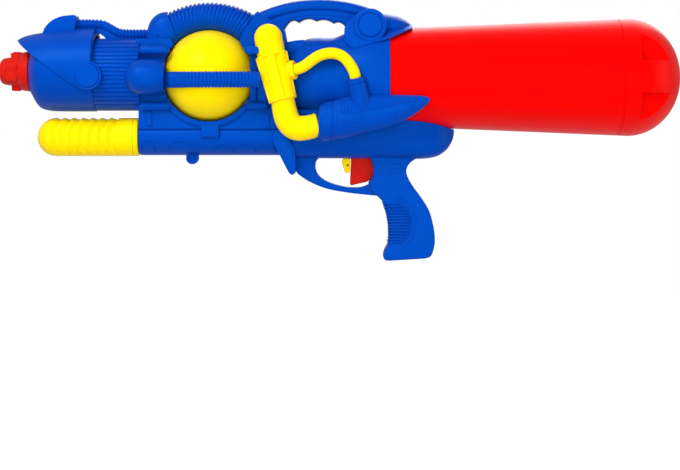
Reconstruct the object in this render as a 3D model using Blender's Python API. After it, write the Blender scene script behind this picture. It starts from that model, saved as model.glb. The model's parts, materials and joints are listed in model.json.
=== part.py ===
"""Toy water squirter: moulded body, pressure ball, hand pump, trigger valve, twist nozzle and screw-on tank.

Sizes are in metres. X runs from the muzzle to the tank, -Y is the left side and +Z is up. Everything is drawn
from a datum at the nozzle tip and the height of the ball centre, then hung from an empty that puts the origin
in the pistol grip, where the hand holds the toy.
"""

import math

import bmesh
import bpy
from mathutils import Vector

# Gaps and walls
GAP = 0.0003
RUN = 0.0008
WALL = 0.0025

# Hand position from the datum
HOLD_X = 0.4080
HOLD_Z = -0.1460

# Pressure ball and its arch
BALL_R = 0.0457
BALL_X = 0.2095
BALL_WALL = 0.0022
PORT_R = 0.0038
PORT_BORE = 0.0020
FEED_ANGLE = math.radians(-38)
OUTLET_ANGLE = math.radians(-8)
ARCH_TUBE_R = 0.0137
ARCH_BORE = 0.0100
ARCH_DROP = 0.0138
ARCH_R = BALL_R + 0.0006 + ARCH_TUBE_R + ARCH_DROP
ARCH_REACH = math.radians(33)
ARCH_SWELL = 0.11
ARCH_RIBS = 22
ARCH_GROOVE = 0.0011
BAND_Z = -0.0045
BAND_HALF = 0.0080
BAND_DEEP = 0.0062
BAND_RIBS = 17
BAND_END_X = BALL_X + 0.0520
CRADLE_R = BALL_R + 0.0058
CRADLE_HALF = 0.0240

# Pump
CYLINDER_R = 0.0120
CYLINDER_BORE = 0.0105
CYLINDER_X0 = 0.1478
CYLINDER_X1 = 0.2760
PUMP_Z = -(BALL_R + 0.0033 + CYLINDER_R)
PUMP_TUBE_R = CYLINDER_R + 0.0062
PUMP_X0 = 0.1400
ROD_R = 0.0040
ROD_X0 = 0.0520
PISTON_X = CYLINDER_X1 - 0.0120
GRIP_R = 0.0190
GRIP_X0 = 0.0380
GRIP_NOSE = 0.0130
GRIP_X1 = PUMP_X0 - 0.0005
GRIP_GROOVES = 7
GRIP_PITCH = 0.0098

# Barrel, shroud and nozzle
SEAT_R = 0.0322
SPIGOT_R = SEAT_R + 0.0037
SHROUD_R = SPIGOT_R + 0.0036
SHROUD_Z = 0.0040
RIB_BARREL_R = SPIGOT_R + 0.0007
RIB_BARREL_Z = 0.0012
RIB_PITCH = 0.0040
RIB_DEEP = 0.0009
RIB_X1 = 0.1265
BARREL_X0 = 0.0580
BARREL_X1 = 0.1668
SHROUD_X1 = 0.0972
VISOR_Z = 0.0055
VISOR_WIDER = 1.04
DISC_X = 0.0935
DISC_Z = -0.0004
DISC_R = 0.0141
NOZZLE_Z = 0.0045
NOZZLE_R = 0.0136
NOZZLE_FLANGE_R = 0.0203
NOZZLE_BORE = 0.0083
JET_R = 0.0016
SEAT_X0 = 0.0620
SEAT_X1 = 0.0655

# Crest hose
CREST_R = 0.0050
CREST_TOP_Z = 0.0515
CREST_LOW_Z = 0.0425
CREST_GROOVE = 0.0009
CREST_BORE = 0.0026

# Tank
TANK_Z = -0.0015
TANK_FRONT_X = 0.3830
TANK_R0 = 0.0484
TANK_R1 = 0.0585
TANK_TIP_X = 0.6790
TANK_DOME_X = TANK_TIP_X - 0.0520
TANK_WALL = 0.0022
TANK_WALL_X = 0.3700
NECK_R = 0.0175
NECK_BORE = 0.0140
NECK_X0 = 0.3636
POCKET_X = TANK_TIP_X - 0.0468
POCKET_SIDE = 0.0160
POCKET_FLOOR = TANK_R1 - 0.0180

# Middle body
BULGE_X = 0.3195
BULGE = (0.0420, 0.0440, 0.0400)
SOCKET_X1 = 0.3890
SOCKET_R1 = 0.0512
HANDLE_HALF = 0.0130
COWL_HALF = ARCH_TUBE_R * (1 + ARCH_SWELL) + 0.0024
YOKE_HALF = 0.0235
RECEIVER_HALF = 0.0255
STOCK_HALF = 0.0160
GUARD_HALF = 0.0080
HUB_X = 0.3696
HUB_Z = 0.0490
HUB_R = 0.0162
HUB_HALF = 0.0320

# Side pipes
PIPE_R = 0.0138
PIPE_COLLAR_R = 0.0168
ELBOW_R = 0.0120
BRANCH_R = 0.0055
TEE_R = 0.0083
TEE_FOOT = (0.2815, 0.0425, 0.0025)
TEE_END = (0.2966, 0.0465, 0.0052)
STUB_TOP = (0.3550, 0.0525, -0.0033)
STUB_FOOT = (0.3632, 0.0470, -0.0390)
STUB_R = 0.0094
POD_LEAN = 0.215

# Hoses and valve
HOSE_R = 0.0030
HOSE_BORE = 0.0018
HOSE_SIDE = 0.0115
HOSE_PASS_Z = -(BALL_R + HOSE_R)
VALVE_X0 = 0.3260
VALVE_X1 = 0.3490
VALVE_Z = -0.0680
VALVE_R = 0.0070
PLUNGER_R = 0.0026

# Trigger
PIVOT_X = 0.3610
PIVOT_Z = -0.0740
PIVOT_R = 0.0020
TRIGGER_HALF = 0.0055
SPRING_R = 0.0032
SPRING_WIRE = 0.0005
SPRING_TURNS = 5


# Shape helpers

def put(bm, name):
    """The bmesh as a scene object with its faces turned outwards."""
    bmesh.ops.remove_doubles(bm, verts=bm.verts, dist=1e-6)
    bmesh.ops.recalc_face_normals(bm, faces=bm.faces)
    mesh = bpy.data.meshes.new(name)
    bm.to_mesh(mesh)
    bm.free()
    obj = bpy.data.objects.new(name, mesh)
    bpy.context.scene.collection.objects.link(obj)
    return obj


def prism(name, outline, start, end, axis="Y", rim=0.0, steps=2):
    """A plate along the axis; the outline is (x, z), or (y, z) along X, and rim rounds both ends."""
    bm = bmesh.new()
    spot = (lambda a, b, t: (a, t, b)) if axis == "Y" else (lambda a, b, t: (t, a, b))
    low = [bm.verts.new(spot(a, b, start)) for a, b in outline]
    high = [bm.verts.new(spot(a, b, end)) for a, b in outline]
    ends = [bm.faces.new(low), bm.faces.new(high[::-1])]
    for i in range(len(outline)):
        j = (i + 1) % len(outline)
        bm.faces.new((low[i], high[i], high[j], low[j]))
    if rim:
        edges = [e for face in ends for e in face.edges]
        bmesh.ops.bevel(bm, geom=edges, offset=rim, segments=steps, profile=0.5, affect="EDGES",
                        clamp_overlap=True)
    return put(bm, name)


def turned(name, profile, y=0.0, z=0.0, axis="X", x=0.0, steps=14):
    """A profile of (along, radius) turned about an axis; one that starts off the axis is a ring."""
    bm = bmesh.new()
    turn = {"X": (1, 0, 0), "Y": (0, 1, 0)}[axis]
    at = (lambda a, r: (a, y, z + r)) if axis == "X" else (lambda a, r: (x, a, z + r))
    points = [bm.verts.new(at(a, r)) for a, r in profile]
    edges = [bm.edges.new(pair) for pair in zip(points, points[1:])]
    if profile[0][1] > 0:
        edges.append(bm.edges.new((points[-1], points[0])))
    bmesh.ops.spin(bm, geom=points + edges, cent=(x, y, z), axis=turn, angle=math.tau, steps=steps,
                   use_merge=True)
    return put(bm, name)


def loft(name, rings, looped=False):
    """A skin over rings of equal count, capped at both ends or closed into a loop."""
    bm = bmesh.new()
    rows = [[bm.verts.new(p) for p in ring] for ring in rings]
    count = len(rows[0])
    for a, b in list(zip(rows, rows[1:])) + ([(rows[-1], rows[0])] if looped else []):
        for i in range(count):
            j = (i + 1) % count
            bm.faces.new((a[i], a[j], b[j], b[i]))
    if not looped:
        bm.faces.new(rows[0])
        bm.faces.new(rows[-1])
    return put(bm, name)


def smooth(points, per=4, closed=False):
    """A curve through the points, per steps between each pair."""
    points = [Vector(p) for p in points]
    last = len(points) if closed else len(points) - 1
    pick = (lambda i: points[i % len(points)]) if closed else (lambda i: points[max(0,
                                                                                    min(len(points) - 1, i))])
    out = []
    for i in range(last):
        a, b, c, d = (pick(i + k) for k in (-1, 0, 1, 2))
        for k in range(per):
            t = k / per
            square, cube = 2 * a - 5 * b + 4 * c - d, 3 * b - a - 3 * c + d
            out.append(0.5 * (2 * b + (c - a) * t + square * t**2 + cube * t**3))
    return out if closed else out + [points[-1]]


def route(points, per=2):
    """A hose line whose first and last legs stay straight, square to what they meet."""
    points = [Vector(p) for p in points]
    return [points[0]] + smooth(points[1:-1], per) + [points[-1]]


def evenly(path, count):
    """The path as count + 1 points at equal steps along it."""
    lengths = [0.0]
    for a, b in zip(path, path[1:]):
        lengths.append(lengths[-1] + (b - a).length)
    out, k = [], 0
    for i in range(count + 1):
        want = lengths[-1] * i / count
        while k < len(path) - 2 and lengths[k + 1] < want:
            k += 1
        share = (want - lengths[k]) / (lengths[k + 1] - lengths[k])
        out.append(path[k].lerp(path[k + 1], share))
    return out


def rings_round(path, radii, sides):
    """One ring of points square to the path at each of its points."""
    out, up = [], None
    for i, p in enumerate(path):
        ahead = (path[min(i + 1, len(path) - 1)] - path[max(i - 1, 0)]).normalized()
        if up is None:
            up = ahead.orthogonal().normalized() if abs(ahead.y) > 0.9 else Vector((0, 1, 0))
        up = (up - ahead * up.dot(ahead)).normalized()
        side = ahead.cross(up)
        turns = [math.tau * k / sides for k in range(sides)]
        out.append([p + radii[i] * (math.cos(a) * up + math.sin(a) * side) for a in turns])
    return out


def hose(name, path, radii, sides=10, bore=0.0, bore_every=1):
    """A tube along the path, with a bore right through it if one is given, which may take fewer rings."""
    if not isinstance(radii, list):
        radii = [radii] * len(path)
    rings = rings_round(path, radii, sides)
    if not bore:
        return loft(name, rings)
    inner = rings_round(path, [bore] * len(path), sides)
    inner = inner[:-1:bore_every] + inner[-1:]
    return loft(name, rings + inner[::-1], looped=True)


def flare(obj, wider):
    """Scale the object's points along Y by a factor that depends on x and z."""
    for v in obj.data.vertices:
        v.co.y *= wider(v.co.x, v.co.z)
    return obj


def mirrored(make):
    """The helpers that make(side) gives for the left and for the right."""
    return make(-1) + make(1)


def is_closed(mesh):
    bm = bmesh.new()
    bm.from_mesh(mesh)
    whole = all(len(edge.link_faces) == 2 for edge in bm.edges)
    bm.free()
    return whole


def boolean(body, others, operation):
    """Apply one Boolean per helper, exact unless that leaves an open edge, and remove the helpers."""
    for other in others:
        for solver in ("EXACT", "MANIFOLD"):
            step = body.modifiers.new("step", "BOOLEAN")
            step.object, step.operation, step.solver = other, operation, solver
            graph = bpy.context.evaluated_depsgraph_get()
            mesh = bpy.data.meshes.new_from_object(body.evaluated_get(graph))
            body.modifiers.clear()
            if is_closed(mesh):
                break
        body.data = mesh
        bpy.data.objects.remove(other)
    return body


def cleaned(obj):
    """Join the level faces that Booleans split."""
    bm = bmesh.new()
    bm.from_mesh(obj.data)
    bmesh.ops.remove_doubles(bm, verts=bm.verts, dist=5e-6)
    bmesh.ops.dissolve_limit(bm, angle_limit=math.radians(1.0), verts=bm.verts, edges=bm.edges)
    bmesh.ops.triangulate(bm, faces=bm.faces)
    bm.to_mesh(obj.data)
    bm.free()
    return obj


def joined(name, parts):
    parts[0].name = name
    return boolean(parts[0], parts[1:], "UNION")


def cut(body, cutters):
    return boolean(body, cutters, "DIFFERENCE")


def rod_between(name, a, b, radius, sides=16):
    return hose(name, [Vector(a), Vector(b)], radius, sides)


def circle(cx, cz, r, a0, a1, count):
    turns = [math.radians(a0 + (a1 - a0) * i / count) for i in range(count + 1)]
    return [(cx + r * math.cos(a), cz + r * math.sin(a)) for a in turns]


def bullet(x0, x1, r, nose, rings=5):
    """A profile with a rounded front at x0 and a flat back at x1."""
    turns = [math.pi / 2 * i / rings for i in range(rings + 1)]
    return [(x0 + nose * (1 - math.cos(a)), r * math.sin(a)) for a in turns] + [(x1, r), (x1, 0)]


def oval(x, y, ry, z, rz, sides, lean=0.0):
    """A ring of points across X, its top leaning forwards."""
    turns = [math.tau * (k + 0.5) / sides for k in range(sides)]
    return [(x - lean * rz * math.sin(a), y + ry * math.cos(a), z + rz * math.sin(a)) for a in turns]


# Shapes that a neighbour also needs as a cutter: grow makes them larger all round

def ball_solid(name, grow=0.0, rings=10, steps=18):
    turns = [math.pi * i / rings for i in range(rings + 1)]
    r = BALL_R + grow
    return turned(name, [(BALL_X - r * math.cos(a), r * math.sin(a)) for a in turns], steps=steps)


def arch_line(grow, count):
    """Centres and radii of the hose over the ball, which is slimmest in the middle."""
    reach = ARCH_REACH + grow / ARCH_R
    turns = [reach * (2 * i / count - 1) for i in range(count + 1)]
    path = [Vector((BALL_X + ARCH_R * math.sin(a), 0, -ARCH_DROP + ARCH_R * math.cos(a))) for a in turns]
    return path, [ARCH_TUBE_R * (1 + ARCH_SWELL * (a / ARCH_REACH) ** 2) + grow for a in turns]


def crest_path(grow=0.0):
    top, low = CREST_TOP_Z, CREST_LOW_Z
    points = [(0.0710 - grow, top), (0.0860, top), (0.1000, top), (0.1068, 0.85 * top + 0.15 * low)]
    points += [(0.1130, 0.4 * top + 0.6 * low), (0.1190, 0.06 * top + 0.94 * low), (0.1270, low),
               (0.1510 + grow, low)]
    return smooth([(x, 0, z) for x, z in points], 3)


def band_rings(side, grow, count, groove):
    """Half-round sections laid round the ball from the collar, then straight back to the side pipe."""
    inner = BALL_R + 0.0005 - grow
    path = []
    for a in [math.radians(157 - 67 * i / 20) for i in range(21)]:
        path.append(Vector((BALL_X + BALL_R * math.cos(a), side * BALL_R * math.sin(a), 0)))
    path.append(Vector((BAND_END_X + grow, side * BALL_R, 0)))
    half = BAND_HALF + grow
    rings = []
    for i, p in enumerate(evenly(path, count)):
        middle = Vector((max(p.x, BALL_X), 0, BAND_Z))
        out = (p - Vector((middle.x, 0, 0))).normalized()
        deep = BAND_DEEP + 2 * grow - (groove if i % 2 else 0.0)
        rings.append([middle + out * (inner + deep * math.cos(t)) + Vector((0, 0, half * math.sin(t)))
                      for t in [math.pi * (k / 6 - 0.5) for k in range(7)]])
    return rings


def pipe_stations(side, grow):
    """Centre and radius along the yellow pipe: domed top, collar, elbow and end."""
    def at(x, y, z):
        return Vector((x, side * y, z))
    top, collar, foot = at(0.2700, 0.0380, 0.0363), at(0.2730, 0.0400, 0.0199), at(0.2845, 0.0430, -0.0250)
    down, on = (collar - top).normalized(), (foot - collar).normalized()
    lip = ELBOW_R + 0.0010
    out = []
    for a in (78, 52, 26):
        a = math.radians(a)
        out.append((top - down * ((PIPE_R + grow) * math.sin(a)), (PIPE_R + grow) * math.cos(a)))
    out += [(top, PIPE_R), (collar - on * (grow + 0.0004), PIPE_R), (collar - on * grow, PIPE_COLLAR_R)]
    out += [(foot - on * 0.0023, lip), (foot + on * grow, lip),
            (foot + on * (grow + 0.0004), ELBOW_R - 0.0006)]
    bend = [(0.2856, -0.0330), (0.2876, -0.0405), (0.2902, -0.0458), (0.2940, -0.0497), (0.2991, -0.0518),
            (0.3060, -0.0515)]
    out += [(at(x, 0.0440, z), ELBOW_R) for x, z in bend]
    out += [(at(0.3120, 0.0440, -0.0502), ELBOW_R - 0.0006),
            (at(0.3182 + grow, 0.0440, -0.0487), ELBOW_R - 0.0008)]
    return out[:3] + [(p, r + grow) for p, r in out[3:]]


def side_pipe(name, side, grow=0.0, sides=12):
    stations = pipe_stations(side, grow)
    body = hose(name, [p for p, r in stations], [r for p, r in stations], sides)
    tee = rod_between("tee", *[(x, side * y, z) for x, y, z in (TEE_FOOT, TEE_END)], TEE_R + grow, 10)
    return joined(name, [body, tee])


def branch_path(side):
    """From the tee of the pipe, up over the side of the body and down on to the stub."""
    def beyond(end, away, length):
        away = (Vector(end) - Vector(away)).normalized()
        return [Vector(end) + away * GAP, Vector(end) + away * length]
    middle = [(0.3060, 0.0480, 0.0089), (0.3133, 0.0482, 0.0144), (0.3206, 0.0484, 0.0188),
              (0.3296, 0.0486, 0.0209),
              (0.3390, 0.0494, 0.0196), (0.3458, 0.0508, 0.0149), (0.3512, 0.0522, 0.0075)]
    points = beyond(TEE_END, TEE_FOOT, 0.0040) + middle + beyond(STUB_TOP, STUB_FOOT, 0.0050)[::-1]
    return route([(x, side * y, z) for x, y, z in points], 1)


def tank_r(x):
    return TANK_R0 + (TANK_R1 - TANK_R0) * (x - TANK_FRONT_X) / (TANK_DOME_X - TANK_FRONT_X)


def tank_dome(shrink, rings):
    """The elliptical end as (x, radius), from the straight wall to the tip."""
    turns = [math.pi / 2 * i / rings for i in range(1, rings + 1)]
    a, b = TANK_TIP_X - TANK_DOME_X - shrink, TANK_R1 - shrink
    return [(TANK_DOME_X + a * math.sin(t), b * math.cos(t) if i < rings else 0.0) for i,
            t in enumerate(turns, 1)]


def tank_room(name):
    """The space that the tank turns in, for cutting the shells."""
    front = TANK_WALL_X + 0.0030
    return turned(name, [(front, 0), (front, TANK_R0 + RUN), (TANK_DOME_X, TANK_R1 + RUN), (TANK_DOME_X, 0)],
                  z=TANK_Z, steps=24)


# Body shells

def ribbed_barrel(name):
    """Level ribs down both sides of a round barrel, as they come out of a two-part mould."""
    right = []
    count = int(2 * RIB_BARREL_R * 0.93 / RIB_PITCH)
    for i in range(count):
        low = (i - count / 2) * RIB_PITCH
        for dz, deep in ((0.15, 0), (0.75, 0), (0.95, RIB_DEEP)):
            z = low + dz * RIB_PITCH
            right.append((math.sqrt(RIB_BARREL_R**2 - z**2) - deep, RIB_BARREL_Z + z))
    left = [(-y, z) for y, z in reversed(right)]
    top, bottom = (0, RIB_BARREL_Z + RIB_BARREL_R), (0, RIB_BARREL_Z - RIB_BARREL_R)
    outline = right + [top] + left + [bottom]
    return prism(name, outline, SHROUD_X1 + GAP, RIB_X1, axis="X")


def receiver(name, shrink=0.0):
    """The under-body as U sections that close up into a boat tail below the tank."""
    stations = [(0.2870, 1.0, -0.0820), (0.3200, 1.0, -0.0822), (0.3700, 1.05, -0.0825),
                (0.4050, 1.12, -0.0828),
                (0.4230, 1.05, -0.0826), (0.4360, 0.85, -0.0805), (0.4450, 0.58, -0.0745),
                (0.4510, 0.32, -0.0660), (0.4540, 0.12, -0.0580)]
    if shrink:
        stations = [(0.2895, 1.0, -0.0820)] + stations[1:-3] + [(0.4400, 0.70, -0.0785)]
    rings = []
    for x, share, low in stations:
        half, low, top = RECEIVER_HALF * share - shrink, low + shrink, -0.0200 if shrink else -0.0340
        ring = []
        for k in range(9):
            a = math.pi * k / 8
            ring.append((x, -half * math.copysign(abs(math.cos(a)) ** 0.6, math.cos(a)),
                         -0.0560 + (low + 0.0560) * math.sin(a) ** 0.8))
        rings.append(ring + [(x, half * 0.98, top), (x, -half * 0.98, top)])
    return loft(name, rings)


def handle_outline():
    top = circle(0.3200, -0.0715, 0.1480, 114.5, 63.5, 10)
    back = [(0.3880, 0.0600), (0.3885, 0.0380), (0.3520, 0.0270), (0.3445, 0.0340), (0.3440, 0.0440)]
    grooves = [(0.3485, 0.0470), (0.3455, 0.0512), (0.3408, 0.0530), (0.3337, 0.0520), (0.3290, 0.0552),
               (0.3248, 0.0562), (0.3165, 0.0545),
               (0.3130, 0.0560), (0.3089, 0.0568), (0.2993, 0.0530), (0.2960, 0.0547), (0.2923, 0.0550),
               (0.2865, 0.0515), (0.2842, 0.0460)]
    return top + back + grooves + [(0.2850, 0.0300), (0.2640, 0.0300)]


STOCK_OUTLINE = [
    (0.3770, -0.1195), (0.3835, -0.1265), (0.3872, -0.1375), (0.3890, -0.1490), (0.3893, -0.1610),
    (0.3875, -0.1680), (0.3842, -0.1740),
    (0.3830, -0.1810), (0.3845, -0.1835), (0.4270, -0.1835), (0.4315, -0.1800), (0.4335, -0.1690),
    (0.4340, -0.1590), (0.4325, -0.1480),
    (0.4285, -0.1340), (0.4210, -0.1215), (0.4125, -0.1100), (0.4075, -0.1015), (0.4058, -0.0950),
    (0.4070, -0.0900), (0.4110, -0.0852),
    (0.4180, -0.0825), (0.4180, -0.0700), (0.3700, -0.0700), (0.3700, -0.1000), (0.3705, -0.1120),
]
GUARD_OUTLINE = [
    (0.2960, -0.0780), (0.2960, -0.0955), (0.3040, -0.1018), (0.3120, -0.1065), (0.3200, -0.1100),
    (0.3300, -0.1130), (0.3400, -0.1150), (0.3520, -0.1168),
    (0.3650, -0.1182), (0.3780, -0.1195), (0.3780, -0.1040), (0.3690, -0.1050), (0.3620, -0.1090),
    (0.3550, -0.1105), (0.3450, -0.1103), (0.3360, -0.1085), (0.3280, -0.1055),
    (0.3200, -0.1005), (0.3170, -0.0960), (0.3155, -0.0900), (0.3170, -0.0840), (0.3210, -0.0800),
]
YOKE_OUTLINE = [
    (0.2580, 0.0640), (0.2398, 0.0338), (0.2455, 0.0250), (0.2515, 0.0180), (0.2515, -0.0210),
    (0.2580, -0.0340),
    (0.2620, -0.0450), (0.2960, -0.0450), (0.2980, 0.0000), (0.2920, 0.0220), (0.2868, 0.0330),
    (0.2840, 0.0470),
]
COWL_OUTLINE = [
    (0.1470, 0.0380), (0.1480, 0.0475), (0.1520, 0.0560), (0.1580, 0.0608), (0.1668, 0.0640),
    (0.1788, 0.0360),
    (0.1720, 0.0250), (0.1500, 0.0250),
]
FIN_OUTLINE = [
    (0.2736, -0.0643), (0.2745, -0.0570), (0.2775, -0.0530), (0.2835, -0.0538), (0.2915, -0.0655),
    (0.2952, -0.0722),
    (0.2964, -0.0930), (0.2950, -0.0975), (0.2915, -0.0978), (0.2890, -0.0950), (0.2810, -0.0793),
]
POD_STATIONS = [
    (0.3190, -0.0455, 0.0145, 0.0430, 0.0110), (0.3215, -0.0456, 0.0165, 0.0435, 0.0130),
    (0.3300, -0.0448, 0.0183, 0.0440, 0.0140), (0.3450, -0.0414, 0.0199, 0.0445, 0.0138),
    (0.3650, -0.0380, 0.0186, 0.0450, 0.0125), (0.3837, -0.0357, 0.0166, 0.0460, 0.0108),
    (0.4050, -0.0312, 0.0117, 0.0480, 0.0085), (0.4157, -0.0280, 0.0081, 0.0490, 0.0062),
    (0.4224, -0.0256, 0.0049, 0.0497, 0.0038), (0.4272, -0.0244, 0.0010, 0.0500, 0.0010),
]


def side_forms(side):
    """Collar, claws, pod, stub, bar and pin on one side of the body."""
    collar = turned("collar", bullet(0.1282, 0.1680, 0.0175, 0.0175, 4), y=side * 0.0305, z=-0.0017, steps=14)
    claws = [turned("claw", bullet(0.1415, 0.1724, 0.0043, 0.0043, 2), y=side * y, z=z, steps=8) for y,
             z in ((0.0275, 0.0249), (0.0210, -0.0301))]
    pod = loft("pod", [oval(x, side * y, ry, z, rz, 10, POD_LEAN if x < 0.3250 else 0.0) for x, z, rz, y,
                       ry in POD_STATIONS])
    stub = rod_between("stub", *[(x, side * y, z) for x, y, z in (STUB_TOP, STUB_FOOT)], STUB_R, 12)
    bar = turned("bar", bullet(0.2469, 0.2700, 0.0040, 0.0040, 2), y=side * 0.0220, z=-0.0297, steps=8)
    pin = turned("pin", bullet(0.2462, 0.2596, 0.0037, 0.0037, 2), y=side * 0.0215, z=0.0247, steps=8)
    return [collar, *claws, pod, stub, bar, pin]


def body_outside():
    bulge_rings = [math.pi * i / 9 for i in range(10)]
    bulge = turned("bulge", [(BULGE_X - BULGE[0] * math.cos(a), BULGE[2] * math.sin(a)) for a in bulge_rings],
                   z=-0.0010, steps=20)
    socket = turned("socket", [(0.3300, 0), (0.3300, 0.0360), (0.3480, 0.0455), (SOCKET_X1, SOCKET_R1),
                               (SOCKET_X1, 0)], z=TANK_Z, steps=24)
    saddle = turned("saddle", [(0.3440, 0.0400), (0.3440, 0.0470), (SOCKET_X1, SOCKET_R1 + 0.0022),
                               (0.4130, tank_r(0.4130) + 0.0028), (0.4130, 0.0400)],
                    z=TANK_Z, steps=24)
    keep = prism("keep", [(0.3430, 0.0480), (0.3520, 0.0265), (0.3890, 0.0375), (0.4115, 0.0465),
                          (0.4130, 0.0490), (0.4130, 0.0600), (0.3430, 0.0600)], -0.08, 0.08)
    boolean(saddle, [keep], "INTERSECT")
    tongue = flare(turned("tongue", [(0.3700, 0), (0.3700, 0.0112), (0.3880, 0.0112), (0.3960, 0.0100),
                                     (0.4040, 0.0075), (0.4100, 0.0042), (0.4130, 0)],
                          z=0.0495, steps=14), lambda x, z: 1.5)
    cradle = prism("cradle", circle(BALL_X, 0, CRADLE_R, 205, 335, 18), -CRADLE_HALF, CRADLE_HALF)
    return [
        turned("spigot", [(BARREL_X0, 0), (BARREL_X0, SPIGOT_R), (SHROUD_X1 + 0.0020, SPIGOT_R),
                          (SHROUD_X1 + 0.0020, 0)], z=SHROUD_Z, steps=20),
        ribbed_barrel("ribs"),
        turned("barrel", [(RIB_X1 - 0.002, 0), (RIB_X1 - 0.002, RIB_BARREL_R - 0.0004),
                          (BARREL_X1, RIB_BARREL_R - 0.0004), (BARREL_X1, 0)], z=RIB_BARREL_Z, steps=24),
        turned("pump", [(PUMP_X0, 0), (PUMP_X0, PUMP_TUBE_R), (0.2920, PUMP_TUBE_R), (0.2920, 0)], z=PUMP_Z,
               steps=24),
        prism("web", [(PUMP_X0 + 0.0007, -0.0280), (PUMP_X0 + 0.0007, PUMP_Z + 0.0068),
                      (0.2920, PUMP_Z + 0.0068), (0.2920, -0.0280)], -0.0188, 0.0188),
        cradle,
        prism("block", [(0.2018, -0.0480), (0.2018, -0.0606), (0.2210, -0.0606), (0.2210, -0.0480)], -0.0205,
              0.0205, rim=0.0012, steps=1),
        prism("lug", circle(0.1926, -0.0820, 0.0062, 0, -180, 8) + [(0.1864, -0.0700), (0.1988, -0.0700)],
              -0.0060, 0.0060),
        prism("cowl", COWL_OUTLINE, -COWL_HALF, COWL_HALF, rim=0.0040, steps=1),
        flare(prism("yoke", YOKE_OUTLINE, -YOKE_HALF, YOKE_HALF, rim=0.0015, steps=1), lambda x,
              z: 0.92 - 1.8 * z),
        flare(bulge, lambda x, z: BULGE[1] / BULGE[2]),
        socket, saddle, tongue,
        receiver("receiver"),
        prism("handle", handle_outline(), -HANDLE_HALF, HANDLE_HALF, rim=0.0040, steps=1),
        turned("hub", [(-HUB_HALF, 0), (-HUB_HALF, HUB_R), (HUB_HALF, HUB_R), (HUB_HALF, 0)], x=HUB_X,
               z=HUB_Z, axis="Y", steps=20),
        turned("boss", [(-HUB_HALF - 0.0015, 0), (-HUB_HALF - 0.0015, 0.0120), (HUB_HALF + 0.0015, 0.0120),
                        (HUB_HALF + 0.0015, 0)],
               x=HUB_X, z=HUB_Z, axis="Y", steps=20),
        prism("fin", FIN_OUTLINE, -0.0270, 0.0270, rim=0.0020, steps=1),
        prism("guard", GUARD_OUTLINE, -GUARD_HALF, GUARD_HALF, rim=0.0025, steps=1),
        prism("stock", STOCK_OUTLINE, -STOCK_HALF, STOCK_HALF, rim=0.0050, steps=1),
    ] + mirrored(side_forms)


def body_rooms():
    """The hollow inside the shells, one simple room for each form."""
    middle = [(0.2450, 0.0120, -0.0080, 0.0200), (0.2580, 0.0172, -0.0080, 0.0260),
              (0.2850, 0.0190, -0.0040, 0.0300), (0.3000, 0.0350, -0.0010, 0.0320),
              (0.3180, 0.0410, -0.0010, 0.0372),
              (0.3350, 0.0375, -0.0010, 0.0342), (0.3500, 0.0420, TANK_Z, 0.0420),
              (TANK_WALL_X, 0.0450, TANK_Z, 0.0450)]
    stock = [(0.3935, -0.1330), (0.3950, -0.1600), (0.3900, -0.1750), (0.3895, -0.1800), (0.4240, -0.1800),
             (0.4285, -0.1750), (0.4305, -0.1600),
             (0.4255, -0.1370), (0.4180, -0.1240), (0.4090, -0.1120), (0.4030, -0.1020), (0.4015, -0.0950),
             (0.4030, -0.0880), (0.4080, -0.0780), (0.3760, -0.0780), (0.3820, -0.1100)]
    return [
        turned("r_spigot", [(BARREL_X0 - 0.001, 0), (BARREL_X0 - 0.001, SEAT_R - 0.0018),
                            (SEAT_X0 - GAP, SEAT_R - 0.0018), (SEAT_X0 - GAP, SEAT_R + 0.0012),
                            (SEAT_X1 + GAP, SEAT_R + 0.0012), (SEAT_X1 + GAP, SEAT_R - 0.0018),
                            (SHROUD_X1 + 0.0030, SEAT_R - 0.0018), (SHROUD_X1 + 0.0030, 0)], z=SHROUD_Z,
                            steps=20),
        turned("r_barrel", [(SHROUD_X1 + 0.0020, 0), (SHROUD_X1 + 0.0020, RIB_BARREL_R - 0.0036),
                            (0.1600, RIB_BARREL_R - 0.0036), (0.1600, 0)], z=RIB_BARREL_Z, steps=20),
        turned("r_pump", [(PUMP_X0 + 0.0023, 0), (PUMP_X0 + 0.0023, PUMP_TUBE_R - WALL),
                          (0.3000, PUMP_TUBE_R - WALL), (0.3000, 0)], z=PUMP_Z, steps=16),
        turned("r_front", [(PUMP_X0 - 0.001, 0), (PUMP_X0 - 0.001, ROD_R + RUN),
                           (PUMP_X0 + 0.005, ROD_R + RUN), (PUMP_X0 + 0.005, 0)], z=PUMP_Z, steps=16),
        prism("r_web", [(PUMP_X0 + 0.0030, -0.0200), (PUMP_X0 + 0.0030, PUMP_Z + 0.002),
                        (0.3000, PUMP_Z + 0.002), (0.3000, -0.0200)], -0.0150, 0.0150),
        loft("r_middle", [oval(x, 0, half, z, high, 16) for x, half, z, high in middle]),
        rod_between("r_neck", (TANK_WALL_X - 0.001, 0, TANK_Z), (TANK_WALL_X + 0.005, 0, TANK_Z), 0.0223),
        receiver("r_receiver", shrink=WALL),
        prism("r_stock", stock, -STOCK_HALF + WALL, STOCK_HALF - WALL),
    ]


def inner_ribs():
    """Saddles, bosses and a stop moulded inside the shells to hold the pump, the trigger and its spring."""
    cup = circle(0, PUMP_Z, PUMP_TUBE_R - 0.0010, 0, -180, 8) + circle(0, PUMP_Z, CYLINDER_R + 2 * GAP, -180,
                                                                       0, 8)
    saddles = [prism("saddle", cup, x, x + 0.003, axis="X") for x in (0.1680, 0.2450)]
    pins = [rod_between("pin", (PIVOT_X, -0.0230, PIVOT_Z), (PIVOT_X, 0.0230, PIVOT_Z), 0.0045, 12)]
    stop = prism("stop", [(0.3880, -0.0840), (0.3880, -0.0960), (0.4040, -0.0960), (0.4040, -0.0840)],
                 -0.0148, 0.0148)
    return saddles + pins + [stop]


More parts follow.
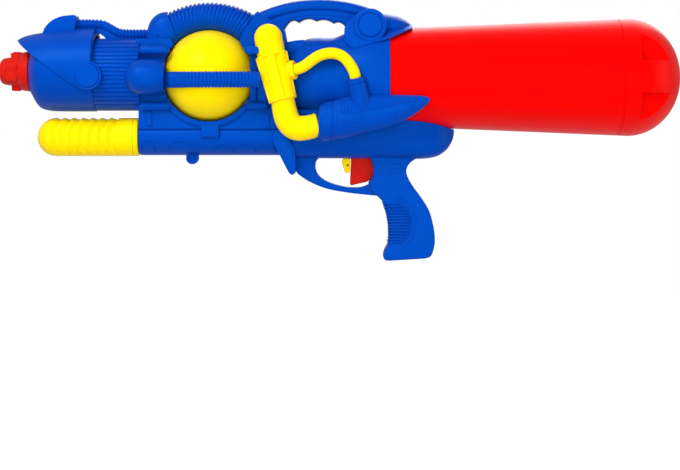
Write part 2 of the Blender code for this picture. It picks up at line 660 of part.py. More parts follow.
TRIGGER_ROOM = [
    (0.3400, -0.0785), (0.3400, -0.0870), (0.3490, -0.1120), (0.3680, -0.1085), (0.3860, -0.1010),
    (0.3875, -0.0800), (0.3790, -0.0560), (0.3540, -0.0560), (0.3530, -0.0740),
]


def neighbours():
    """The space of every fixed piece that the shells close on, and of the trigger and the tank."""
    return [
        loft("n_band", band_rings(-1, GAP, 14, 0.0)),
        loft("n_band", band_rings(1, GAP, 14, 0.0)),
        ball_solid("n_ball", GAP),
        hose("n_arch", *arch_line(4 * GAP, 12), 12),
        hose("n_crest", crest_path(GAP), CREST_R + 2 * GAP, 8),
        tank_room("n_tank"),
        prism("n_trigger", TRIGGER_ROOM, -TRIGGER_HALF - RUN, TRIGGER_HALF + RUN),
        rod_between("n_pin", (PIVOT_X, -0.0200, PIVOT_Z), (PIVOT_X, 0.0200, PIVOT_Z), PIVOT_R + GAP, 10),
    ]


def body_shells():
    body = joined("left_shell", body_outside())
    cut(body, body_rooms())
    boolean(body, inner_ribs(), "UNION")
    cut(body, neighbours())
    other = bpy.data.objects.new("right_shell", body.data.copy())
    bpy.context.scene.collection.objects.link(other)
    big = [(-0.1, -0.4), (0.9, -0.4), (0.9, 0.3), (-0.1, 0.3)]
    boolean(body, [prism("half", big, -0.2, -GAP / 2)], "INTERSECT")
    boolean(other, [prism("half", big, GAP / 2, 0.2)], "INTERSECT")
    cleaned(body)
    cleaned(other)


# Front end

def front_shroud():
    r = SHROUD_R
    sleeve = turned("front_shroud", [
        (0.0318, 0.0130), (0.0318, 0.0203), (0.0334, 0.0240), (0.0358, r - 0.0108), (0.0400, r - 0.0045),
        (0.0440, r - 0.0023), (0.0500, r - 0.0009), (0.0600, r), (SHROUD_X1, r), (SHROUD_X1, SPIGOT_R + GAP),
        (SHROUD_X1 - 0.0080, SPIGOT_R + GAP), (SHROUD_X1 - 0.0090, r - 0.0025), (0.0500, r - 0.0032),
        (0.0410, r - 0.0070), (0.0362, r - 0.0140), (0.0345, 0.0130),
    ], z=SHROUD_Z, steps=20)
    back = SHROUD_X1 - 0.0020
    visor = turned("visor", [
        (0.0185, r - 0.0090), (0.0240, r - 0.0060), (0.0320, r - 0.0037), (0.0430, r - 0.0020),
        (0.0560, r - 0.0008),
        (0.0750, r + 0.0005), (back, r + 0.0015), (back, r - 0.0022), (0.0500, r - 0.0022),
        (0.0430, r - 0.0045),
        (0.0320, r - 0.0061), (0.0240, r - 0.0083), (0.0195, r - 0.0107),
    ], z=VISOR_Z, steps=20)
    flare(visor, lambda x, z: VISOR_WIDER)
    keep = prism("keep", [
        (0.0100, 0.0700), (0.0100, 0.0372), (0.0185, 0.0358), (0.0327, 0.0238), (0.0815, -0.0117),
        (back - 0.0052, -0.0140),
        (back - 0.0012, 0.0000), (back - 0.0033, 0.0170), (back - 0.0033, 0.0260), (back + 0.0002, 0.0480),
        (back + 0.0002, 0.0700),
    ], -0.06, 0.06)
    boolean(visor, [keep], "INTERSECT")
    face = [(r - 0.0021, 0), (r - 0.0021, DISC_R), (r + 0.0031, DISC_R), (r + 0.0031, DISC_R - 0.0020),
            (r + 0.0041, DISC_R - 0.0025), (r + 0.0041, 0)]
    discs = [turned("disc", [(side * y, a) for y, a in face], x=DISC_X, z=DISC_Z, axis="Y", steps=16)
             for side in (-1, 1)]
    ridge = smooth([(0.0435, 0.0405), (0.0460, 0.0470), (0.0500, 0.0522), (0.0560, 0.0568), (0.0640, 0.0597),
                    (0.0755, 0.0604)], 2)
    ridge += [Vector((0.0778, 0.0585)), Vector((0.0765, 0.0500)), Vector((0.0745, 0.0405))]
    crest = prism("crest", ridge, -0.0105, 0.0105, rim=0.0040)
    shroud = joined("front_shroud", [sleeve, visor, crest] + discs)
    cleaned(cut(shroud, [hose("room", crest_path(GAP), CREST_R + 2 * GAP, 8)]))


def nozzle():
    cap = turned("nozzle_cap", [
        (0.0008, JET_R), (0.0000, 0.0040), (0.0008, 0.0085), (0.0030, 0.0115), (0.0065, NOZZLE_R - 0.0004),
        (0.0165, NOZZLE_R), (0.0190, 0.0165), (0.0205, NOZZLE_FLANGE_R - 0.0008), (0.0215, NOZZLE_FLANGE_R),
        (0.0308, NOZZLE_FLANGE_R), (0.0311, 0.0185), (0.0311, 0.0122), (0.0450, 0.0122),
        (0.0450, NOZZLE_BORE),
        (0.0115, NOZZLE_BORE), (0.0115, JET_R),
    ], z=NOZZLE_Z, steps=16)
    lugs = []
    for k in range(4):
        out = Vector((0, math.cos(math.pi / 2 * k), math.sin(math.pi / 2 * k)))
        high, half = (NOZZLE_R + 0.0058, 0.0050) if k % 2 else (NOZZLE_R + 0.0016, 0.0080)
        section = ((0.0120, -half), (high, 0.0006 - half), (high, half - 0.0006), (0.0120, half))
        foot = ((0.0120, -half), (NOZZLE_R, 0.0006 - half), (NOZZLE_R, half - 0.0006), (0.0120, half))
        across = out.cross(Vector((1, 0, 0)))
        rings = [[Vector((x, 0, NOZZLE_Z)) + out * r + across * s for r, s in points]
                 for x, points in ((0.0105, foot), (0.0128, section), (0.0220, section))]
        lugs.append(loft("lug", rings))
    joined("nozzle_cap", [cap] + lugs)
    turned("nozzle_seal", [(0.0118, 0.0030), (0.0118, NOZZLE_BORE - GAP), (0.0138, NOZZLE_BORE - GAP),
                           (0.0138, 0.0030)], z=NOZZLE_Z, steps=16)
    turned("nozzle_seat", [
        (0.0141, 0.0025), (0.0141, NOZZLE_BORE - GAP), (0.0560, NOZZLE_BORE - GAP), (SEAT_X0, 0.0150),
        (SEAT_X0, SEAT_R), (SEAT_X1, SEAT_R), (SEAT_X1, 0.0060),
        (0.0670, HOSE_R), (0.0720, HOSE_R), (0.0720, HOSE_BORE), (0.0500, HOSE_BORE), (0.0480, 0.0025),
    ], z=NOZZLE_Z, steps=14)


def hoses_outside():
    path, radii = arch_line(0.0, 2 * ARCH_RIBS)
    hose("arch_hose", path, [r - ARCH_GROOVE * (i % 2) for i, r in enumerate(radii)], 10, ARCH_BORE, 6)
    path = evenly(crest_path(), 34)
    hose("crest_hose", path, [CREST_R - CREST_GROOVE * (i % 2) for i in range(len(path))], 8, CREST_BORE, 3)


def ball():
    sphere = ball_solid("pressure_ball")
    def at(angle, r):
        return (BALL_X + r * math.cos(angle), 0, r * math.sin(angle))
    ends = BALL_R + 0.0085
    ports = [rod_between("port", at(a, BALL_R - 0.001), at(a, ends), PORT_R, 10)
             for a in (FEED_ANGLE, OUTLET_ANGLE)]
    body = joined("pressure_ball", [sphere] + ports)
    room = ball_solid("room", -BALL_WALL, 6, 12)
    bores = [rod_between("bore", at(a, BALL_R - 0.007), at(a, ends + 0.001), PORT_BORE, 8)
             for a in (FEED_ANGLE, OUTLET_ANGLE)]
    cut(body, [joined("room", [room] + bores)])


def side_pieces():
    for side, word in ((-1, "left"), (1, "right")):
        side_pipe(f"side_pipe_{word}", side)
        hose(f"branch_hose_{word}", branch_path(side), BRANCH_R, 8)
        band = loft(f"ball_band_{word}", band_rings(side, 0.0, 2 * BAND_RIBS, 0.0011))
        cut(band, [side_pipe("room", side, GAP)])


# Tank

def tank():
    front, seam = TANK_FRONT_X, TANK_DOME_X - 0.0100
    outer = [
        (NECK_X0, NECK_BORE), (NECK_X0, NECK_R), (front - 0.003, NECK_R), (front, NECK_R + 0.003),
        (front + 0.0004, TANK_R0 - 0.003), (front + 0.003, TANK_R0 + 0.0001), (seam - 0.0015, tank_r(seam)),
        (seam, tank_r(seam) - 0.0008), (seam + 0.0015, tank_r(seam)), (TANK_DOME_X, TANK_R1),
    ]
    solid = turned("tank_bottle", [(NECK_X0, 0)] + outer[1:] + tank_dome(0.0, 7), z=TANK_Z, steps=24)
    cut(solid, tank_pockets())
    inner = tank_dome(TANK_WALL, 5)[::-1] + [(TANK_DOME_X - 0.010, TANK_R1 - TANK_WALL),
                                             (front + 0.003, TANK_R0 - TANK_WALL)]
    inner += [(front + TANK_WALL, NECK_BORE), (NECK_X0 - 0.001, NECK_BORE), (NECK_X0 - 0.001, 0)]
    room = turned("room", inner, z=TANK_Z, steps=16)
    cut(solid, [cut(room, tank_pockets(TANK_WALL))])
    turned("tank_seal", [
        (NECK_X0 - 0.0023, 0.0080), (NECK_X0 - 0.0023, NECK_R - 0.0005), (NECK_X0 - GAP, NECK_R - 0.0005),
        (NECK_X0 - GAP, 0.0080),
    ], z=TANK_Z, steps=14)
    seat = NECK_X0 - 0.0026
    turned("tank_socket", [
        (seat - 0.0110, HOSE_BORE), (seat - 0.0110, HOSE_R), (seat - 0.0030, HOSE_R), (seat - 0.0030, 0.0222),
        (0.3660, 0.0222), (0.3660, 0.0255), (0.3697, 0.0255), (0.3697, 0.0215), (0.3733, 0.0215),
        (0.3733, 0.0255),
        (0.3765, 0.0255), (0.3765, NECK_R + RUN), (seat, NECK_R + RUN), (seat, HOSE_BORE),
    ], z=TANK_Z, steps=14)


def tank_pockets(grow=0.0):
    """Flats cut into both sides of the domed end, above and below a bar that is left to turn the tank by."""
    far, end = TANK_R1 + 0.0100, TANK_TIP_X + 0.0100
    start, floor, side = POCKET_X - grow, POCKET_FLOOR - grow, POCKET_SIDE - grow
    pockets = []
    for sy in (-1, 1):
        for sz in (-1, 1):
            low, high = TANK_Z + sz * side, TANK_Z + sz * far
            box = [(start, low), (end, low), (end, high), (start, high)]
            pockets.append(prism("box", box, *sorted((sy * floor, sy * far))))
    return pockets


# Pump

def pump():
    z = PUMP_Z
    turned("pump_cylinder", [(CYLINDER_X0, CYLINDER_BORE), (CYLINDER_X0, CYLINDER_R),
                             (CYLINDER_X1, CYLINDER_R), (CYLINDER_X1, CYLINDER_BORE)], z=z)
    front = CYLINDER_X0 - 0.0045
    turned("pump_front_cap", [
        (front, ROD_R + GAP), (front, CYLINDER_R + 0.0028), (CYLINDER_X0 + 0.007, CYLINDER_R + 0.0028),
        (CYLINDER_X0 + 0.007, CYLINDER_R + GAP), (CYLINDER_X0 - GAP, CYLINDER_R + GAP),
        (CYLINDER_X0 - GAP, 0.0068), (front + 0.0015, 0.0068), (front + 0.0015, ROD_R + GAP),
    ], z=z)
    turned("rod_seal", [(front + 0.0018, ROD_R + 0.00015), (front + 0.0018, 0.0065), (front + 0.0038, 0.0065),
                        (front + 0.0038, ROD_R + 0.00015)], z=z)
    turned("pump_rod", [(ROD_X0, 0), (ROD_X0, ROD_R), (PISTON_X, ROD_R), (PISTON_X, 0.0028),
                        (PISTON_X + 0.0085, 0.0028), (PISTON_X + 0.0085, 0)], z=z)
    rod = bpy.data.objects["pump_rod"]
    cut(rod, [rod_between("hole", (ROD_X0 + 0.010, -0.01, z), (ROD_X0 + 0.010, 0.01, z), 0.0015, 10)])
    r = CYLINDER_BORE - GAP
    turned("piston", [(PISTON_X + GAP, 0.0031), (PISTON_X + GAP, r), (PISTON_X + 0.0032, r),
                      (PISTON_X + 0.0032, r - 0.0020), (PISTON_X + 0.0058, r - 0.0020),
                      (PISTON_X + 0.0058, r),
                      (PISTON_X + 0.0085, r), (PISTON_X + 0.0085, 0.0031)], z=z)
    turned("piston_seal", [(PISTON_X + 0.0035, r - 0.0018), (PISTON_X + 0.0035, r + 0.00015),
                           (PISTON_X + 0.0055, r + 0.00015), (PISTON_X + 0.0055, r - 0.0018)], z=z)
    pump_grip()


def grip_ring(x, r, drop, sides=14):
    """A ring of the pump grip; a groove takes drop off the top and nothing off the bottom."""
    r -= drop / 2
    return [(x, r * math.cos(a), PUMP_Z - drop / 2 + r * math.sin(a))
            for a in [math.tau * k / sides for k in range(sides)]]


def pump_grip():
    rings = []
    for k in range(5):
        a = math.radians(12 + 78 * k / 5)
        rings.append(grip_ring(GRIP_X0 + GRIP_NOSE * (1 - math.cos(a)), GRIP_R * math.sin(a), 0))
    first = GRIP_X0 + 0.0180
    for k in range(GRIP_GROOVES):
        x = first + GRIP_PITCH * k
        rings += [grip_ring(x - 0.45 * GRIP_PITCH, GRIP_R, 0), grip_ring(x, GRIP_R, 0.0026)]
    rings += [grip_ring(GRIP_X1 - 0.0052, GRIP_R, 0)]
    grip = loft("pump_grip", rings)
    room = turned("room", [(GRIP_X0 + 0.0060, 0), (GRIP_X0 + 0.0120, 0.0110),
                           (GRIP_X0 + 0.0180, GRIP_R - 0.0042), (GRIP_X1, GRIP_R - 0.0042), (GRIP_X1, 0)],
                           z=PUMP_Z, steps=14)
    post = turned("post", [(GRIP_X0 + 0.0040, 0), (GRIP_X0 + 0.0040, ROD_R + 0.0030),
                           (ROD_X0 + 0.022, ROD_R + 0.0030), (ROD_X0 + 0.022, 0)], z=PUMP_Z, steps=12)
    cut(room, [post])
    cut(grip, [room,
               rod_between("bore", (ROD_X0 - GAP, 0, PUMP_Z), (ROD_X0 + 0.03, 0, PUMP_Z), ROD_R + GAP, 16),
               rod_between("hole", (ROD_X0 + 0.010, -0.010, PUMP_Z), (ROD_X0 + 0.010, 0.010, PUMP_Z), 0.0015,
                           10)])
    rod_between("rod_pin", (ROD_X0 + 0.010, -0.0068, PUMP_Z), (ROD_X0 + 0.010, 0.0068, PUMP_Z), 0.0012, 10)
    plug = GRIP_R - 0.0045
    turned("grip_end_cap", [(GRIP_X1 - 0.0120, ROD_R + GAP), (GRIP_X1 - 0.0120, plug),
                            (GRIP_X1 - 0.0049, plug), (GRIP_X1 - 0.0049, GRIP_R), (GRIP_X1 - 0.0006, GRIP_R),
                            (GRIP_X1, GRIP_R - 0.0006), (GRIP_X1, ROD_R + GAP)], z=PUMP_Z, steps=14)


# Valves and inner hoses

def valve_block():
    """Closes the cylinder: the intake comes in from behind, the outlet leaves up and forwards to the ball."""
    z, x = PUMP_Z, CYLINDER_X1
    block = turned("valve_block", [
        (x - 0.0024, 0.0046), (x - 0.0024, CYLINDER_BORE - GAP), (x + GAP, CYLINDER_BORE - GAP),
        (x + GAP, CYLINDER_R), (x + 0.0120, CYLINDER_R), (x + 0.0120, 0.0050),
        (x + 0.0130, HOSE_R), (x + 0.0210, HOSE_R), (x + 0.0210, HOSE_BORE), (x + 0.0060, HOSE_BORE),
        (x + 0.0060, 0.0046),
    ], z=z, steps=12)
    port = rod_between("port", (x + 0.0075, 0, z + 0.0070), (x + 0.0015, 0, z + 0.0190), HOSE_R, 12)
    joined("valve_block", [block, port])
    cut(block,
        [rod_between("way", (x + 0.0030, 0, z + 0.0020), (x + 0.0052, 0, z + 0.0125), HOSE_BORE * 0.8, 8),
                rod_between("way", (x + 0.0058, 0, z + 0.0104), (x + 0.0010, 0, z + 0.0200), HOSE_BORE, 9)])
    turned("intake_valve_disc", [(x + 0.0042, 0), (x + 0.0042, 0.0042), (x + 0.0054, 0.0042),
                                 (x + 0.0054, 0)], z=z)


def inner_hoses():
    z, x = PUMP_Z, CYLINDER_X1
    def port(angle, r):
        return (BALL_X + r * math.cos(angle), 0, r * math.sin(angle))
    def tube(name, points):
        hose(name, route(points), HOSE_R, 6, HOSE_BORE)
    ends = BALL_R + 0.0085 + GAP
    tube("ball_feed_hose", [port(FEED_ANGLE, ends), port(FEED_ANGLE, ends + 0.004), (0.2640, 0, -0.0375),
                            (0.2715, 0, -0.0345),
                            (x - 0.0007, 0, z + 0.0234), (x + 0.00137, 0, z + 0.01927)])
    tube("ball_outlet_hose", [port(OUTLET_ANGLE, ends), port(OUTLET_ANGLE, ends + 0.005),
                              (0.2960, -0.0100, -0.0240), (0.3160, -0.0120, -0.0430),
                              (0.3310, -0.0060, -0.0500), (0.3380, 0, -0.0530),
                              (0.3380, 0, VALVE_Z + VALVE_R + 0.0033)])
    seat = NECK_X0 - 0.0026 - 0.0110
    tube("intake_hose", [(seat - GAP, 0, TANK_Z), (seat - 0.006, 0, TANK_Z), (0.3290, 0.0100, -0.0200),
                         (0.3180, 0.0120, -0.0420), (0.3100, 0.0070, z + 0.006),
                         (x + 0.0280, 0, z), (x + 0.0213, 0, z)])
    side, low = -HOSE_SIDE, HOSE_PASS_Z
    tube("discharge_hose", [(VALVE_X0 - 0.0053, 0, VALVE_Z), (VALVE_X0 - 0.0110, 0, VALVE_Z),
                            (0.3060, -0.0100, -0.0600), (0.2950, side, low), (0.2500, side, low),
                            (BALL_X, side, low),
                            (0.1720, side, low), (0.1580, side, low + 0.003), (0.1500, -0.0105, -0.0360),
                            (0.1400, -0.0090, -0.0200), (0.1200, -0.0050, -0.0040),
                            (0.0800, 0, NOZZLE_Z), (0.0723, 0, NOZZLE_Z)])


def trigger_valve():
    body = turned("trigger_valve", [(VALVE_X0 - 0.0050, HOSE_BORE), (VALVE_X0 - 0.0050, HOSE_R),
                                    (VALVE_X0, HOSE_R), (VALVE_X0, VALVE_R), (VALVE_X1, VALVE_R),
                                    (VALVE_X1, PLUNGER_R + RUN),
                                    (VALVE_X1 - 0.0030, PLUNGER_R + RUN), (VALVE_X1 - 0.0030, 0.0050),
                                    (VALVE_X0 + 0.0025, 0.0050), (VALVE_X0 + 0.0025, HOSE_BORE)], z=VALVE_Z,
                                    steps=12)
    inlet = rod_between("inlet", (0.3380, 0, VALVE_Z + 0.0060), (0.3380, 0, VALVE_Z + VALVE_R + 0.0030),
                        HOSE_R, 12)
    joined("trigger_valve", [body, inlet])
    cut(body,
        [rod_between("bore", (0.3380, 0, VALVE_Z + 0.0030), (0.3380, 0, VALVE_Z + VALVE_R + 0.0040),
                     HOSE_BORE, 10)])
    turned("valve_plunger", [(VALVE_X0 + 0.0080, 0), (VALVE_X0 + 0.0080, 0.0044), (VALVE_X1 - 0.0038, 0.0044),
                             (VALVE_X1 - 0.0038, PLUNGER_R), (PIVOT_X - 0.0062, PLUNGER_R),
                             (PIVOT_X - 0.0056, 0.0018), (PIVOT_X - 0.0056, 0)],
           z=VALVE_Z, steps=14)


# Trigger

def trigger():
    px, pz = PIVOT_X, PIVOT_Z
    outline = [(-0.0092, -0.0065), (-0.0098, -0.0090), (-0.0110, -0.0346), (-0.0090, -0.0350),
               (0.0060, -0.0315), (0.0115, -0.0260), (0.0135, -0.0190), (0.0120, -0.0100), (0.0070, -0.0025),
               (0.0040, 0.0070), (0.0010, 0.0100), (-0.0040, 0.0100), (-0.0052, 0.0085), (-0.0052, 0.0020),
               (-0.0060, -0.0020)]
    body = prism("trigger", [(px + x, pz + z) for x, z in outline], -TRIGGER_HALF, TRIGGER_HALF, rim=0.0010,
                 steps=1)
    cut(body, [rod_between("hole", (px, -0.02, pz), (px, 0.02, pz), PIVOT_R + GAP, 14)])
    rod_between("trigger_pin", (px, -0.0195, pz), (px, 0.0195, pz), PIVOT_R, 14)
    hook = [(-0.0103, -0.0080), (-0.0150, -0.0070), (-0.0182, -0.0095), (-0.0190, -0.0135),
            (-0.0170, -0.0180), (-0.0150, -0.0220), (-0.0120, -0.0226), (-0.0108, -0.0205)]
    prism("trigger_hook", [(px + x, pz + z) for x, z in hook], -0.0045, 0.0045, rim=0.0012, steps=1)
    start, end, z = px + 0.0143, 0.3870, pz - 0.0160
    coil = []
    for i in range(SPRING_TURNS * 6 + 1):
        a = math.tau * i / 6
        coil.append(Vector((start + (end - start) * i / (SPRING_TURNS * 6), SPRING_R * math.cos(a),
                            z + SPRING_R * math.sin(a))))
    hose("trigger_spring", coil, SPRING_WIRE, 4)


# Looks and joints

BLUE = ((0.003, 0.072, 0.500), 0.36)
YELLOW = ((1.000, 0.830, 0.005), 0.34)
RED = ((0.900, 0.010, 0.006), 0.30)
BLACK = ((0.020, 0.020, 0.022), 0.60)
WHITE = ((0.780, 0.780, 0.760), 0.45)
CLEAR = ((0.620, 0.660, 0.680), 0.25)
STEEL = ((0.560, 0.570, 0.580), 0.30, 1.0)
LOOKS = [
    (("left_shell", "right_shell", "front_shroud", "arch_hose", "crest_hose", "ball_band_left",
      "ball_band_right"), BLUE),
    (("pressure_ball", "side_pipe_left", "side_pipe_right", "branch_hose_left", "branch_hose_right",
      "pump_grip", "grip_end_cap", "trigger_hook"), YELLOW),
    (("tank_bottle", "nozzle_cap", "trigger"), RED),
    (("nozzle_seal", "tank_seal", "rod_seal", "piston_seal", "intake_valve_disc"), BLACK),
    (("nozzle_seat", "tank_socket", "pump_cylinder", "pump_front_cap", "pump_rod", "piston", "valve_block",
      "trigger_valve", "valve_plunger"), WHITE),
    (("ball_feed_hose", "ball_outlet_hose", "intake_hose", "discharge_hose"), CLEAR),
    (("rod_pin", "trigger_pin", "trigger_spring"), STEEL),
]
JOINTS = {
    "nozzle_axis": (("nozzle_cap", "nozzle_seal"), (0.0293, 0, NOZZLE_Z)),
    "pump_axis": (("pump_grip", "grip_end_cap", "pump_rod", "rod_pin", "piston", "piston_seal"),
                  (PISTON_X, 0, PUMP_Z)),
    "trigger_axis": (("trigger", "trigger_hook", "trigger_spring"), (PIVOT_X, 0, PIVOT_Z)),
    "plunger_axis": (("valve_plunger",), (VALVE_X1, 0, VALVE_Z)),
    "tank_axis": (("tank_bottle", "tank_seal"), (NECK_X0, 0, TANK_Z)),
}


def finish(piece, colour, roughness, metallic=0.0):
    """The piece's own material, and smooth shading that stays sharp at its corners."""
    material = bpy.data.materials.new(piece.name)
    material.use_nodes = True
    shader = material.node_tree.nodes["Principled BSDF"]
    shader.inputs["Base Color"].default_value = (*colour, 1)
    shader.inputs["Roughness"].default_value = roughness
    shader.inputs["Metallic"].default_value = metallic
    piece.data.materials.clear()
    piece.data.materials.append(material)
    piece.data.shade_smooth()
    piece.data.set_sharp_from_angle(angle=math.radians(34))


def empty(name, at):
    obj = bpy.data.objects.new(name, None)
    obj.location = at
    bpy.context.scene.collection.objects.link(obj)
    return obj


# The scene

for old in list(bpy.data.objects):
    bpy.data.objects.remove(old)
body_shells()
front_shroud()
nozzle()
hoses_outside()
ball()
side_pieces()
tank()
pump()
valve_block()
inner_hoses()
trigger_valve()
trigger()

for names, look in LOOKS:
    for name in names:
        finish(bpy.data.objects[name], *look)

hold = empty("hold", (-HOLD_X, 0, -HOLD_Z))
moved = [piece for names, at in JOINTS.values() for piece in names]
for piece in [o for o in bpy.data.objects if o.type == "MESH" and o.name not in moved]:
    piece.parent = hold
for joint, (names, at) in JOINTS.items():
    axis = empty(joint, at)
    axis.parent = hold
    for name in names:
        piece = bpy.data.objects[name]
        piece.parent = axis
        piece.location = -Vector(at)
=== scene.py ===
"""Looks of the pump-up toy water gun, drawn in millimetres from the nozzle tip and the ball's middle."""
import json
import math

import bmesh
import bpy
from mathutils import Matrix, Vector


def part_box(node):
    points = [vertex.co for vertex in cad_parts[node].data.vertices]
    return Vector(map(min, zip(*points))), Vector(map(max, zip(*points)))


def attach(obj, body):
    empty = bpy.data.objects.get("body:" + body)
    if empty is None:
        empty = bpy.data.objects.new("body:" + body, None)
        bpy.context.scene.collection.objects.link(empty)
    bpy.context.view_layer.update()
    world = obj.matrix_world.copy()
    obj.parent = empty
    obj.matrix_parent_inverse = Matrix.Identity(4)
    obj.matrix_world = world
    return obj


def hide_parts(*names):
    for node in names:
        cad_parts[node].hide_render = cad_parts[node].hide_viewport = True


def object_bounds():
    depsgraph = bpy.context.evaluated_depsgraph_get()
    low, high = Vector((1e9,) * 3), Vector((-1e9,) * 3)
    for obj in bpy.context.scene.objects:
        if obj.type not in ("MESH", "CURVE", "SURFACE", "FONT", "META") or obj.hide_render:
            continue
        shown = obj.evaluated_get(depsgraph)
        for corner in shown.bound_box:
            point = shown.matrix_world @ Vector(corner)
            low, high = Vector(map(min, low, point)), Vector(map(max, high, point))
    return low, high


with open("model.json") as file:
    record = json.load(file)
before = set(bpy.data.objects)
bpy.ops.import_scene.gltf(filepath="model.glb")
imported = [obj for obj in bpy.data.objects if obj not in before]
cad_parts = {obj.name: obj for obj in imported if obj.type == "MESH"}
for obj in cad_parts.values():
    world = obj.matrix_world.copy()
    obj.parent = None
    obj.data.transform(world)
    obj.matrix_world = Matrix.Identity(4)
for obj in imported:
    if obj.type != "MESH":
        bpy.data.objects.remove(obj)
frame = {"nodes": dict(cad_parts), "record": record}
cad_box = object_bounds()


# Barrel of the body, with level ribs down both sides.
# Blue moulded plastic, in two shells that meet on the centre plane and are screwed together from the right.
# The ribs are level because the two halves of the mould part sideways.
nozzle_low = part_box("nozzle_cap")[0]
ball_low, ball_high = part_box("pressure_ball")
PLACE = Matrix.Translation((nozzle_low[0], 0, (ball_low[2] + ball_high[2]) / 2)) @ Matrix.Scale(0.001, 4)
SHELLS = ("left_shell", "right_shell")
SIDES = (-1, 1)
MERGED = 0.002
SHARP = math.radians(32)


def joined(node, inputs):
    """Set each input of a shader node to a value, or join it to another node's output."""
    for name, value in inputs.items():
        if isinstance(value, bpy.types.NodeSocket):
            node.id_data.links.new(value, node.inputs[name])
        else:
            node.inputs[name].default_value = value
    return node.outputs


def added(tree, kind, inputs, **settings):
    """A new shader node with its settings and inputs."""
    node = tree.nodes.new("ShaderNode" + kind)
    for setting, value in settings.items():
        setattr(node, setting, value)
    return joined(node, inputs)


def moulded(name, colour, deep, rough, shine=(1, 1, 1), seam=False):
    """Moulded plastic: faint flow marks, uneven gloss, a fine skin and, on the shells, a parting line."""
    material = bpy.data.materials.new(name)
    material.use_nodes = True
    tree = material.node_tree
    place = added(tree, "TexCoord", {})["Object"]
    flow = added(tree, "TexNoise", {"Vector": place, "Scale": 22.0, "Detail": 4.0, "Distortion": 0.6})["Fac"]
    shades = {"Factor": flow, "A": (*deep, 1), "B": (*colour, 1)}
    tint = added(tree, "Mix", shades, data_type="RGBA")["Result"]
    gloss = added(tree, "MapRange", {"Value": flow, "To Min": rough - 0.05, "To Max": rough + 0.07})["Result"]
    skin = added(tree, "TexNoise", {"Vector": place, "Scale": 1400.0, "Detail": 2.0})["Fac"]
    bump = added(tree, "Bump", {"Height": skin, "Strength": 0.12, "Distance": 0.0001})["Normal"]
    if seam:
        across = added(tree, "SeparateXYZ", {"Vector": place})["Y"]
        off = added(tree, "Math", {0: across}, operation="ABSOLUTE")["Value"]
        reach = {"Value": off, "From Min": 0.0001, "From Max": 0.0004}
        line = added(tree, "MapRange", reach, interpolation_type="SMOOTHSTEP")["Result"]
        shades = {"Factor": line, "A": (*[c * 0.25 for c in deep], 1), "B": tint}
        tint = added(tree, "Mix", shades, data_type="RGBA")["Result"]
        groove = {"Height": line, "Strength": 0.8, "Distance": 0.0004, "Normal": bump}
        bump = added(tree, "Bump", groove)["Normal"]
    look = {"Base Color": tint, "Roughness": gloss, "Normal": bump,
            "Specular IOR Level": 0.25, "Specular Tint": (*shine, 1)}
    joined(tree.nodes["Principled BSDF"], look)
    return material


BLUE = moulded("blue plastic", (0.0003, 0.057, 0.44), (0.0002, 0.048, 0.37), 0.34, (0.02, 0.3, 1), seam=True)


def made(bm, name, finish, slot, body, *nodes):
    """Turn a drawing in millimetres into a piece that rides on its body in place of the named nodes."""
    bmesh.ops.remove_doubles(bm, verts=bm.verts, dist=MERGED)
    bmesh.ops.recalc_face_normals(bm, faces=bm.faces)
    bmesh.ops.transform(bm, matrix=PLACE, verts=bm.verts)
    mesh = bpy.data.meshes.new(name)
    bm.to_mesh(mesh)
    bm.free()
    mesh.materials.append(finish)
    mesh.shade_smooth()
    mesh.set_sharp_from_angle(angle=SHARP)
    piece = bpy.data.objects.new(name, mesh)
    bpy.context.scene.collection.objects.link(piece)
    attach(piece, body)
    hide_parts(*nodes)


def blue(bm, name):
    """A piece of the blue body shells."""
    made(bm, name, BLUE, "blue_plastic", "body", *SHELLS)


def arc(x, z, r, start, end, steps):
    """Points on an arc, its angles in degrees from +X upwards."""
    angles = [math.radians(start + (end - start) * i / steps) for i in range(steps + 1)]
    return [(x + r * math.cos(a), z + r * math.sin(a)) for a in angles]


def plate(bm, outline, start, end, rim=0.0, axis="Y", segments=4, rims="both"):
    """Extrude an outline of (x, z), or (y, z) along X, and round its rims."""
    spot = (lambda a, b, t: (a, t, b)) if axis == "Y" else (lambda a, b, t: (t, a, b))
    near = bm.faces.new([bm.verts.new(spot(a, b, start)) for a, b in outline])
    grown = bmesh.ops.extrude_face_region(bm, geom=[near])["geom"]
    far = next(g for g in grown if isinstance(g, bmesh.types.BMFace))
    bmesh.ops.translate(bm, verts=far.verts[:], vec=spot(0, 0, end - start))
    if rim:
        edges = {"both": near.edges[:] + far.edges[:], "near": near.edges[:], "far": far.edges[:]}[rims]
        bmesh.ops.bevel(bm, geom=edges, offset=rim, offset_type="OFFSET", segments=segments, profile=0.5,
                        affect="EDGES", clamp_overlap=True, material=-1)


def turned(bm, profile, centre, ahead=(1, 0, 0), steps=96):
    """Spin a profile of (along, radius) round a line through the centre."""
    centre, ahead = Vector(centre), Vector(ahead).normalized()
    side = ahead.orthogonal().normalized()
    verts = [bm.verts.new(centre + ahead * a + side * r) for a, r in profile]
    edges = [bm.edges.new(pair) for pair in zip(verts, verts[1:])]
    bmesh.ops.spin(bm, geom=verts + edges, cent=centre, axis=ahead, angle=math.tau, steps=steps,
                   use_merge=True)


